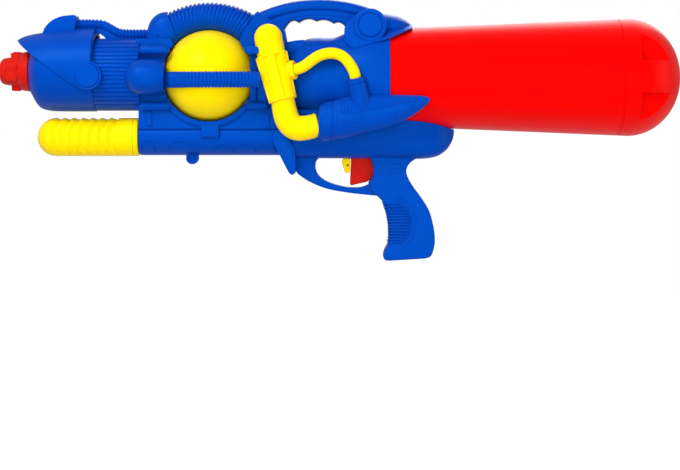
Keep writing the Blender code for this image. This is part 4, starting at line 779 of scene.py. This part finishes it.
# Receiver, the under-body that carries the trigger, with its boat tail under the tank.
# Moulded in one with the shells; the trigger hangs through a slot in its floor.
SLOT_HALF = 7.2
SLOT_X0 = 332.0
SLOT_X1 = 391.0
SLOT_BELOW = -78.0
SLOT_HIGH = 14.0
KEEL = [(292.0, -75.0, 23.6), (293.0, -79.4, 25.0), (297.0, -81.8, 25.5), (320.0, -82.2, 25.5),
        (370.0, -82.6, 25.5), (389.0, -82.8, 25.6), (412.0, -82.8, 25.6), (425.0, -82.5, 24.2),
        (437.0, -80.0, 20.0), (446.0, -74.0, 13.5), (451.5, -66.0, 7.5), (453.8, -58.5, 2.6)]


def tank_side(x, half):
    """How low the tank reaches at a distance to the side of the centre plane."""
    return TANK_Z - math.sqrt(max(tank_r(x) + TANK_CLEAR, SOCKET_WALL_R + 0.2) ** 2 - half**2)


# A unit section: square-shouldered below, with a flat top.
trough = [(math.copysign(abs(math.cos(a)) ** 0.6, math.cos(a)), -abs(math.sin(a)) ** 0.6)
          for a in [math.pi + math.pi * i / 40 for i in range(41)]]
trough += [(1, 0.2 * k) for k in range(1, 6)] + [(1 - k / 12, 1) for k in range(1, 24)]
trough += [(-1, 1 - 0.2 * k) for k in range(5)]
bm = bmesh.new()
hull = []
for x, low, half in smooth(KEEL, 6):
    high = -34.0 if x < SOCKET_BACK else tank_side(x, half) + 0.6
    hull.append(station((x, 0, (low + high) / 2), (1, 0, 0), (0, 0, 1), half, (high - low) / 2))
swept(bm, hull, trough)
off_tank(bm, SOCKET_BACK)
for spot, across in (((SLOT_X0, 0, 0), (1, 0, 0)), ((SLOT_X1, 0, 0), (1, 0, 0)),
                     ((0, -SLOT_HALF, 0), (0, 1, 0)), ((0, SLOT_HALF, 0), (0, 1, 0))):
    bmesh.ops.bisect_plane(bm, geom=bm.verts[:] + bm.edges[:] + bm.faces[:], plane_co=spot, plane_no=across)
slot = []
for face in bm.faces:
    here = face.calc_center_median()
    if SLOT_X0 < here.x < SLOT_X1 and abs(here.y) < SLOT_HALF and here.z < SLOT_BELOW:
        slot.append(face)
bmesh.ops.delete(bm, geom=slot, context="FACES")
lip = bmesh.ops.extrude_edge_only(bm, edges=[e for e in bm.edges if e.is_boundary])["geom"]
bmesh.ops.translate(bm, verts=[g for g in lip if isinstance(g, bmesh.types.BMVert)], vec=(0, 0, SLOT_HIGH))
blue(bm, "receiver")


# Fin and trigger guard under the receiver.
# Moulded in one with the shells.
FIN_HALF = 26.5
GUARD_HALF = 8.0
bm = bmesh.new()
fin = [(273.6, -64.3), (274.5, -57.0), (277.5, -53.4), (283.5, -54.2), (288.2, -60.0), (291.8, -65.5),
       (295.2, -72.2), (296.2, -80.0), (296.4, -93.0), (295.4, -96.8), (293.4, -98.0), (291.0, -97.4),
       (289.0, -95.0), (281.0, -79.3)]
plate(bm, fin, -FIN_HALF, FIN_HALF, rim=1.0)
for side in SIDES:
    panel(bm, side * FIN_HALF, 1.3, 0.7)
guard_out = smooth([(296, -78), (296.2, -94.5), (303.5, -101.6), (312, -106.6), (321, -110.4), (331, -113.4),
                    (342, -115.4), (353, -117.0), (366, -118.4), (381, -119.8)], 4)
guard_in = smooth([(381, -104.0), (372, -106.6), (365.5, -109.6), (359, -111.2), (351, -111.3), (342, -110.0),
                   (333, -107.6), (325, -104.2), (319.0, -99.4), (316.2, -94.5), (315.5, -89.5),
                   (316.6, -84.8), (320.5, -81.0), (326.0, -79.0)], 4)
plate(bm, guard_out + guard_in, -GUARD_HALF, GUARD_HALF, rim=2.4)
blue(bm, "fin_and_guard")


# Pistol grip, with a round ribbed inlay for the palm on both sides.
# Moulded in one with the shells; the ribs wrap round the front of the grip.
STOCK_HALF = 16.0
INLAY_X = 386.0
INLAY_Z = -146.0
INLAY_R = 24.0
INLAY_RIBS = 14
INLAY_FIRST = 19.171
INLAY_PITCH = 2.95
INLAY_RIB = 0.85
INLAY_OUT = STOCK_HALF + 1.5
INLAY_RINGS = ((25.6, 0.8), (29.0, 0.7))
CHEEK_LINES = (-87.5, -92.5, -97.5)
stock_front = [(377.0, -119.5), (383.3, -126.5), (387.0, -137.5), (388.9, -149.0), (389.2, -161.0),
               (387.5, -168.0), (384.4, -174.0), (383.0, -180.0)]
foot = [(383.8, -182.0), (386.0, -183.3), (389.5, -183.5), (424.0, -181.4), (428.4, -180.2), (430.6, -178.4)]
stock_back = [(432.0, -175.0), (433.8, -168.0), (434.0, -159.0), (432.4, -148.0), (428.4, -134.0),
              (421.0, -121.5), (412.6, -110.0), (407.6, -101.5), (405.8, -95.0), (407.0, -90.0),
              (411.0, -85.2), (418.0, -81.0)]
cheek_front = [(418, -70), (370.5, -70), (370.8, -83), (373.0, -91), (373.0, -97), (370.8, -103),
               (368.4, -107), (370.8, -113)]


def front_at(z):
    """Where the front of the pistol grip is at z."""
    for a, b in zip(stock_front, stock_front[1:]):
        if b[1] <= z <= a[1]:
            return a[0] + (b[0] - a[0]) * (z - a[1]) / (b[1] - a[1])
    return stock_front[-1][0]


stock = smooth(stock_front, 5) + foot + smooth(stock_back, 5)
bm = bmesh.new()
for side in SIDES:
    plate(bm, stock + cheek_front, side * SLOT_HALF, side * STOCK_HALF, rim=5.0, rims="far", segments=6)
plate(bm, stock + [(418, -70), (SLOT_X1, -70), (SLOT_X1, -113.5), (372, -113.5)],
      -SLOT_HALF - 0.2, SLOT_HALF + 0.2)
for k in range(INLAY_RIBS):
    z = INLAY_Z + INLAY_FIRST - INLAY_PITCH * k
    x0, x1 = front_at(z) - 0.9, INLAY_X + math.sqrt(INLAY_R**2 - (z - INLAY_Z) ** 2)
    low, high = z - INLAY_RIB, z + INLAY_RIB
    plate(bm, [(x0, high), (x0, low), (x1, low), (x1, high)], -INLAY_OUT, INLAY_OUT, rim=0.8, segments=3)
for side in SIDES:
    for r, thick in INLAY_RINGS:
        bead(bm, [(x, side * (STOCK_HALF - 0.1), z) for x, z in arc(INLAY_X, INLAY_Z, r, -58, 66, 40)], thick)
    for low in CHEEK_LINES:
        bead(bm, [(x, side * (STOCK_HALF - 0.2), z) for x, z in run(390.0, low, 1, 0, 12)], 0.6)
blue(bm, "pistol_grip")


# Screws that hold the shells together, all driven from the right side.
# Small zinc-plated cross-head screws, each sunk in a moulded ring.
STEEL = bpy.data.materials.new("bright steel")
STEEL.use_nodes = True
place = added(STEEL.node_tree, "TexCoord", {})["Object"]
brushed = added(STEEL.node_tree, "TexNoise", {"Vector": place, "Scale": 900.0})["Fac"]
spread = added(STEEL.node_tree, "MapRange", {"Value": brushed, "To Min": 0.25, "To Max": 0.45})["Result"]
steel_look = {"Metallic": 1.0, "Base Color": (0.56, 0.57, 0.58, 1), "Roughness": spread}
joined(STEEL.node_tree.nodes["Principled BSDF"], steel_look)
SCREWS = [(LOOP_X, 3.6, LOOP_Z), (157.0, 18.9, -39.0), (264.0, 20.4, 48.0), (HUB_X, 39.0, HUB_Z),
          (304.0, 8.0, -92.0), (428.0, 23.0, -66.0), (399.0, 16.0, -105.0), (412.0, 16.0, -173.0)]
SCREW_RING = [(-0.5, 4.4), (0.5, 4.2), (0.8, 3.8), (0.8, 3.4), (0.4, 3.1), (-0.5, 3.0), (-0.5, 4.4)]
SCREW_HEAD = [(-0.6, 0), (-0.6, 2.9), (0.25, 2.9), (0.45, 2.6), (0.55, 2.1), (0.55, 1.9), (-0.1, 1.9),
              (-0.1, 0)]
SCREW_WEDGE = [(0.35, 0.35)] + arc(0, 0, 1.92, 12, 78, 6)
SCREW_TURN = 20
heads, rings = bmesh.new(), bmesh.new()
for x, y, z in SCREWS:
    turned(rings, SCREW_RING, (x, y, z), (0, 1, 0), steps=40)
    turned(heads, SCREW_HEAD, (x, y, z), (0, 1, 0), steps=40)
    for turn in [math.radians(90 * k + SCREW_TURN) for k in range(4)]:
        c, s = math.cos(turn), math.sin(turn)
        plate(heads, [(x + a * c - b * s, z + a * s + b * c) for a, b in SCREW_WEDGE], y - 0.2, y + 0.55)
blue(rings, "screw_rings")
made(heads, "body_screws", STEEL, "steel", "body", *SHELLS)


# Front shroud: a sleeve over the end of the barrel, with a visor, side discs and a crest.
# Blue moulded plastic, pushed over the barrel and held by it.
SHROUD_Z = 4.0
VISOR_Z = 5.5
VISOR_WIDER = 1.04
CREST_HALF = 10.5
DISC_X = 93.5
DISC_Z = -0.4
DISC = [(36.5, 0), (36.5, 14.1), (42.2, 14.1), (42.8, 13.8), (43.0, 13.3), (43.0, 12.5), (42.4, 12.1),
        (42.4, 11.7), (43.4, 11.3), (43.8, 10.7), (43.9, 0)]
VISOR_CUTS = [((18.5, 0, 35.8), (-0.845, 0, -1)), ((32.7, 0, 23.8), (-0.727, 0, -1)),
              ((81.5, 0, -11.7), (-0.2, 0, -1)), ((96.4, 0, 0), (1, 0, 0))]
bm = bmesh.new()
sleeve = smooth([(31.8, 20.6), (33.0, 23.2), (36.0, 28.8), (38.6, 32.9), (41.2, 35.6), (45.0, 37.6),
                 (51.0, 38.8), (60.0, 39.4), (96.6, 39.5)], 5)
lining = [(97.2, 38.9), (97.2, 36.9), (60.0, 36.7), (46.0, 33.0), (46.0, 13.4), (32.2, 13.4), (31.8, 14.2)]
turned(bm, sleeve + lining + sleeve[:1], (0, 0, SHROUD_Z), steps=128)
for side in SIDES:
    turned(bm, DISC, (DISC_X, 0, DISC_Z), (0, side, 0))
crest = smooth([(43.4, 37.0), (44.4, 43.0), (47.0, 48.6), (51.5, 53.4), (57.0, 57.0), (64.0, 59.4),
                (73.0, 60.4), (76.4, 60.2), (77.7, 58.0), (76.8, 50.0), (74.4, 37.0)], 5)
plate(bm, crest, -CREST_HALF, CREST_HALF, rim=4.0, segments=5)
made(bm, "shroud_sleeve", BLUE, "blue_plastic", "body", "front_shroud")
bm = bmesh.new()
outer = smooth([(18.5, 30.5), (24.0, 33.5), (32.0, 35.8), (43.0, 37.7), (56.0, 39.6), (75.0, 41.2),
                (98.0, 42.3)], 4)
inner = smooth([(98.0, 38.2), (50.0, 38.0), (43.0, 35.6), (32.0, 33.6), (24.0, 31.3), (19.3, 29.2)], 3)
turned(bm, outer + inner + outer[:1], (0, 0, VISOR_Z), steps=160)
bmesh.ops.remove_doubles(bm, verts=bm.verts, dist=MERGED)
bmesh.ops.scale(bm, vec=(1, VISOR_WIDER, 1), verts=bm.verts)
trimmed(bm, VISOR_CUTS)
made(bm, "visor", BLUE, "blue_plastic", "body", "front_shroud")


# Crest hose, from the crest on the shroud back to the cowl.
# Ribbed blue plastic, plain where it dips, on a thin web that stands up from the barrel.
CREST_R = 5.1
CREST_PITCH = 3.4
CREST_GROOVE = 0.2
CREST_WEB = [(77.5, 50.0), (77.5, 44.0), (95.0, 42.8), (101.0, 41.8), (104.5, 39.0), (107.0, 36.2),
             (148.0, 36.2), (148.0, 41.0), (124.0, 41.2), (117.0, 42.6), (111.0, 45.6), (105.0, 49.0)]
CREST_WEB_HALF = 2.4
crest_line = smooth([(71.0, 51.9), (86.0, 51.9), (98.0, 51.6), (105.0, 50.1), (111.5, 46.6), (117.5, 43.4),
                     (125.0, 42.1), (136.0, 41.9), (150.0, 41.9)], 24)
bm = bmesh.new()
stops = []
for p in crest_line:
    ribs = 78 < p.x < 104 or 116 < p.x < 147
    wave = 0.5 + 0.5 * math.cos(math.tau * p.x / CREST_PITCH)
    stops.append((p.x, 0, p.y, CREST_R * (1 - CREST_GROOVE * wave) if ribs else CREST_R * 0.9))
tube(bm, stops, sides=40)
plate(bm, CREST_WEB, -CREST_WEB_HALF, CREST_WEB_HALF, rim=0.6)
made(bm, "ribbed_crest_hose", BLUE, "blue_plastic", "body", "crest_hose")


# Twist nozzle.
# Red moulded plastic; it turns on the seat inside the shroud, and four lugs give the fingers hold.
DEEP_RED = moulded("deep red plastic", (0.60, 0.012, 0.007), (0.54, 0.010, 0.006), 0.34, (1, 0.1, 0.08))
NOZZLE_Z = 4.5
NOZZLE_TURN = 7
LUG_IN = 9.0
WIDE_LUG = ([(8.2, -7.4), (20.0, -7.9), (20.0, 7.9), (8.2, 7.4)], 16.4)
HIGH_LUG = ([(12.2, -4.8), (22.0, -5.2), (22.0, 5.2), (12.2, 4.8)], 19.0)
bm = bmesh.new()
cap = smooth([(0.9, 1.6), (0.25, 2.6), (0.15, 4.0), (0.6, 8.2), (2.0, 11.0), (4.6, 13.0), (9.0, 13.8),
              (14.0, 14.4), (18.4, 15.2), (20.4, 16.4), (22.0, 18.2), (24.0, 19.2)], 4)
shank = [(30.3, 20.2), (30.9, 19.9), (31.1, 19.2), (31.1, 12.2), (45.0, 12.2), (45.0, 8.3),
         (11.6, 8.3), (11.6, 0)]
turned(bm, [(11.5, 0), (11.5, 1.6)] + cap + shank, (0, 0, NOZZLE_Z))
for k in range(4):
    outline, r = (WIDE_LUG, HIGH_LUG)[k % 2]
    lug = bmesh.new()
    plate(lug, outline, -r, -LUG_IN, rim=0.8, rims="near")
    panel(lug, -r, 1.1, 0.5)
    turn = Matrix.Rotation(math.radians(90 * k + NOZZLE_TURN), 4, "X")
    bmesh.ops.transform(lug, matrix=Matrix.Translation((0, 0, NOZZLE_Z)) @ turn, verts=lug.verts)
    part = bpy.data.meshes.new("lug")
    lug.to_mesh(part)
    lug.free()
    bm.from_mesh(part)
made(bm, "twist_nozzle", DEEP_RED, "red_plastic", "nozzle", "nozzle_cap")


# Water tank.
# Red blow-moulded bottle that screws into the body; flat pockets in its end leave bars to turn it by.
RED = moulded("red plastic", (0.88, 0.0006, 0.0003), (0.83, 0.0005, 0.0003), 0.34, (1, 0.04, 0.03))
NECK_X = 363.6
NECK_R = 17.5
POCKET_X = 632.2
POCKET_SIDE = 16.0
POCKET_FLOOR = 40.5
POCKET_RAMP = 0.8
SEAM_X = 616.2
bm = bmesh.new()
seam_r = tank_r(SEAM_X)
neck = [(NECK_X, NECK_R - 3.5), (NECK_X, NECK_R), (TANK_FRONT - 3, NECK_R)]
wall = [(TANK_FRONT, NECK_R), (TANK_FRONT + 0.3, 45.0), (TANK_FRONT + 1.2, 47.2)]
wall += [(x, tank_r(x)) for x in [TANK_FRONT + 3 + (SEAM_X - TANK_FRONT - 4) * k / 24 for k in range(25)]]
wall += [(SEAM_X - 0.5, seam_r - 0.9), (SEAM_X + 0.4, seam_r - 0.9), (SEAM_X + 0.9, seam_r)]
for a in [math.radians(3 * k) for k in range(30)]:
    wall.append((TANK_DOME_X + (TANK_TIP_X - TANK_DOME_X) * math.sin(a), TANK_R1 * math.cos(a)))
turned(bm, neck + wall + [(TANK_TIP_X, 0)], (0, 0, TANK_Z), steps=144)
bmesh.ops.remove_doubles(bm, verts=bm.verts, dist=MERGED)
lines = [((POCKET_X + step, 0, 0), (1, 0, 0)) for step in (0, POCKET_RAMP)]
for sign in SIDES:
    lines.append(((0, sign * POCKET_FLOOR, 0), (0, 1, 0)))
    lines += [((0, 0, TANK_Z + sign * (POCKET_SIDE + step)), (0, 0, 1)) for step in (0, POCKET_RAMP)]
for spot, across in lines:
    end = [f for f in bm.faces if f.calc_center_median().x > POCKET_X - 12]
    parts = set(end) | {e for f in end for e in f.edges} | {v for f in end for v in f.verts}
    bmesh.ops.bisect_plane(bm, geom=list(parts), plane_co=spot, plane_no=across, dist=0.001)
for v in bm.verts:
    inside = min(v.co.x - POCKET_X, abs(v.co.z - TANK_Z) - POCKET_SIDE)
    if inside > POCKET_RAMP - 0.1 and abs(v.co.y) > POCKET_FLOOR:
        v.co.y = math.copysign(POCKET_FLOOR, v.co.y)
made(bm, "water_tank", RED, "red_plastic", "tank", "tank_bottle")


# Pump grip, the fore-end that is slid to and fro.
# Yellow moulded plastic; the bowed grooves run out below, and the end cap is pressed in.
GRIP_R = 19.0
GRIP_X0 = 38.0
GRIP_X1 = 139.5
GRIP_NOSE = 18.5
GRIP_STEPS = 156
GRIP_STEP = 0.5
GROOVES = 7
GROOVE_X = 61.5
GROOVE_PITCH = 9.4
GROOVE_DEEP = 1.4
GROOVE_LEAD = GROOVE_PITCH / 2
GROOVE_TAIL = 2.2
GROOVE_FADE = 5.0
GROOVE_SIDE = 2.1
GROOVE_LEAN = 5.0
LEAN_X0 = 44.0
LEAN_RISE = 14.0
LEAN_X1 = 132.0
LEAN_FALL = 6.0
GRIP_CAP = [(-13.0, 4.4), (-5.2, 4.4), (-5.2, 18.2), (-4.7, 18.9), (-4.0, 19.0), (-1.4, 19.0), (-0.5, 18.6),
            (0, 17.8), (0, 6.2), (-0.8, 5.4), (-0.8, 4.4), (-13.0, 4.4)]
stations = []
for a in [math.radians(2 + 5 * k) for k in range(18)]:
    x, r = GRIP_X0 + GRIP_NOSE * (1 - math.cos(a)), GRIP_R * math.sin(a)
    stations.append(station((x, 0, PUMP_Z), (1, 0, 0), (0, 0, 1), r, r))
for x in [GRIP_X0 + GRIP_NOSE + 0.2 + GRIP_STEP * i for i in range(GRIP_STEPS)]:
    past = min((x - GROOVE_X - GROOVE_PITCH * k for k in range(GROOVES)), key=abs)
    reach = GROOVE_LEAD if past < 0 else GROOVE_TAIL
    deep = GROOVE_DEEP * min((x - GRIP_X0 - GRIP_NOSE) / GROOVE_FADE, 1)
    drop = deep * max(1 - (past / reach) ** 2, 0.0) ** 1.2
    here = (x, 0, PUMP_Z - drop / 2)
    stations.append(station(here, (1, 0, 0), (0, 0, 1), GRIP_R - GROOVE_SIDE * drop, GRIP_R - drop / 2))
bm = bmesh.new()
swept(bm, stations, ring(96))
for v in bm.verts:
    rise, fall = (v.co.x - LEAN_X0) / LEAN_RISE, (LEAN_X1 - v.co.x) / LEAN_FALL
    ends = min(max(rise, 0), 1) * min(max(fall, 0), 1)
    v.co.x -= GROOVE_LEAN * (v.co.y / GRIP_R) ** 2 * ends
made(bm, "grooved_grip", YELLOW, "yellow_plastic", "pump", "pump_grip")
bm = bmesh.new()
turned(bm, [(GRIP_X1 + along, r) for along, r in GRIP_CAP], (0, 0, PUMP_Z), steps=128)
made(bm, "grip_cap", YELLOW, "yellow_plastic", "pump", "grip_end_cap")


# Trigger and its hook.
# Red moulded lever on a steel pin, with a yellow catch pressed on in front.
PIVOT_X = 361.0
PIVOT_Z = -74.0
LEVER_HALF = 5.5
HOOK_HALF = 4.6
LEVER = [(-9.6, -6.5), (-10.0, -9.0), (-11.0, -34.0), (-10.2, -35.0), (-8.8, -35.0), (6.0, -31.6),
         (8.6, -30.0), (11.4, -26.0), (13.3, -19.0), (12.0, -10.0), (7.0, -2.5), (4.0, 6.6), (1.0, 9.6),
         (-4.0, 9.6), (-5.0, 8.4), (-5.0, 2.0), (-6.2, -2.0)]
HOOK = [(-10.6, -8.6), (-14.6, -7.2), (-18.0, -9.0), (-19.2, -13.0), (-17.6, -16.4), (-17.2, -18.2),
        (-17.0, -21.0), (-14.6, -22.8), (-12.0, -22.4), (-10.9, -20.6)]
HOOK_BUTTON = [(-0.3, 0), (-0.3, 1.9), (0.5, 1.7), (0.6, 1.3), (0.1, 0.9), (0.1, 0)]
HOOK_BUTTON_AT = (PIVOT_X - 13.4, HOOK_HALF - 0.1, PIVOT_Z - 15.0)
bm = bmesh.new()
plate(bm, [(PIVOT_X + x, PIVOT_Z + z) for x, z in LEVER], -LEVER_HALF, LEVER_HALF, rim=1.0)
for side in SIDES:
    bead(bm, [(x, side * (LEVER_HALF - 0.05), z) for x, z in run(353.0, -86.0, 1, -1.6, 13)], 0.45)
made(bm, "trigger_lever", DEEP_RED, "red_plastic", "trigger", "trigger")
bm = bmesh.new()
plate(bm, [(PIVOT_X + x, PIVOT_Z + z) for x, z in smooth(HOOK, 5)], -HOOK_HALF, HOOK_HALF, rim=1.3)
for side in SIDES:
    turned(bm, HOOK_BUTTON, mirror_y(HOOK_BUTTON_AT, side), (0, side, 0), steps=32)
made(bm, "trigger_catch", YELLOW, "yellow_plastic", "trigger", "trigger_hook")


# Pump, valves, hoses and pins inside, as the model has them.
# White and natural plastic, black rubber seals and steel pins; the rod shows when the grip is slid forward.
INNER = {
    "white_plastic": moulded("white plastic", (0.80, 0.80, 0.77), (0.74, 0.74, 0.71), 0.4),
    "hose_plastic": moulded("hose plastic", (0.64, 0.68, 0.70), (0.58, 0.62, 0.64), 0.35),
    "black_rubber": moulded("black rubber", (0.022, 0.022, 0.024), (0.016, 0.016, 0.017), 0.6),
    "steel": STEEL,
    "blue_plastic": BLUE,
    "yellow_plastic": YELLOW,
    "red_plastic": RED,
}
for row in frame["record"]["subparts"]:
    node = frame["nodes"][row["node"]]
    node.data.materials.clear()
    node.data.materials.append(INNER[row["material_slot"]])


# White studio with soft light from above and in front, and the camera square on to the left side.
# The toy is held in the hand, so it hangs well above the floor.
def paper(name, level, glow):
    """White paper, lifted towards plain white for the camera, with the shadows still on it."""
    material = bpy.data.materials.new(name)
    material.use_nodes = True
    tree = material.node_tree
    place = added(tree, "TexCoord", {})["Object"]
    grain = added(tree, "TexNoise", {"Vector": place, "Scale": 60.0})["Fac"]
    bump = added(tree, "Bump", {"Height": grain, "Strength": 0.02})["Normal"]
    look = {"Base Color": (level, level, level, 1), "Roughness": 0.9, "Normal": bump}
    sheet = joined(tree.nodes["Principled BSDF"], look)["BSDF"]
    white = added(tree, "Emission", {"Strength": 1.1})["Emission"]
    seen = added(tree, "LightPath", {})["Is Camera Ray"]
    lift = added(tree, "Math", {0: seen, 1: glow}, operation="MULTIPLY")["Value"]
    mix = added(tree, "MixShader", {"Fac": lift, 1: sheet, 2: white})["Shader"]
    joined(tree.nodes["Material Output"], {"Surface": mix})
    return material


FLOOR_HALF = 40.0
FLOOR_BELOW = 0.30
floor_bm = bmesh.new()
bmesh.ops.create_grid(floor_bm, x_segments=8, y_segments=8, size=FLOOR_HALF)
floor_mesh = bpy.data.meshes.new("floor")
floor_bm.to_mesh(floor_mesh)
floor_bm.free()
floor_mesh.materials.append(paper("floor paper", 0.6, 0.9))
floor = bpy.data.objects.new("floor", floor_mesh)
floor.location = (0, 0, cad_box[0][2] - FLOOR_BELOW)
bpy.context.scene.collection.objects.link(floor)

world = bpy.data.worlds.new("studio")
bpy.context.scene.world = world
world.use_nodes = True
tree = world.node_tree
sky = joined(tree.nodes["Background"], {"Color": (1, 1, 1, 1), "Strength": 0.36})["Background"]
white = added(tree, "Background", {"Color": (1, 1, 1, 1)})["Background"]
seen = added(tree, "LightPath", {})["Is Camera Ray"]
mix = added(tree, "MixShader", {"Fac": seen, 1: sky, 2: white})["Shader"]
joined(tree.nodes["World Output"], {"Surface": mix})

LIT = Vector((0, 0, 0.12))
LAMPS = [("key", (-0.9, -1.3, 1.4), 0.9, 30), ("front", (-0.3, -2.2, 0.3), 1.4, 16),
         ("back", (0.4, 1.6, 1.2), 1.4, 16), ("low", (0.2, -0.9, -0.25), 1.2, 5),
         ("tail", (1.6, -0.4, 0.2), 0.9, 4.5)]
for name, spot, size, power in LAMPS:
    lamp = bpy.data.lights.new(name, "AREA")
    lamp.size = size
    lamp.energy = power
    light = bpy.data.objects.new(name, lamp)
    light.location = spot
    light.rotation_euler = (LIT - Vector(spot)).to_track_quat("-Z", "Y").to_euler()
    bpy.context.scene.collection.objects.link(light)

CAMERA_FAR = 1640.0
PICTURE_WIDE = 680.0
SENSOR = 36.0
PIXELS_WIDE = 680
MIDDLE_ROW = 235
EYE_ROW = 115
BALL_ROW = 76
lens = bpy.data.cameras.new("camera")
lens.sensor_width = SENSOR
lens.lens = SENSOR * CAMERA_FAR / PICTURE_WIDE
lens.shift_y = -(MIDDLE_ROW - EYE_ROW) / PIXELS_WIDE
camera = bpy.data.objects.new("camera", lens)
eye_z = (BALL_ROW - EYE_ROW) * PICTURE_WIDE / PIXELS_WIDE
camera.location = PLACE @ Vector((PICTURE_WIDE / 2, -CAMERA_FAR, eye_z))
camera.rotation_euler = (math.radians(90), 0, 0)
bpy.context.scene.collection.objects.link(camera)
bpy.context.scene.camera = camera
bpy.context.scene.view_settings.view_transform = "Standard"
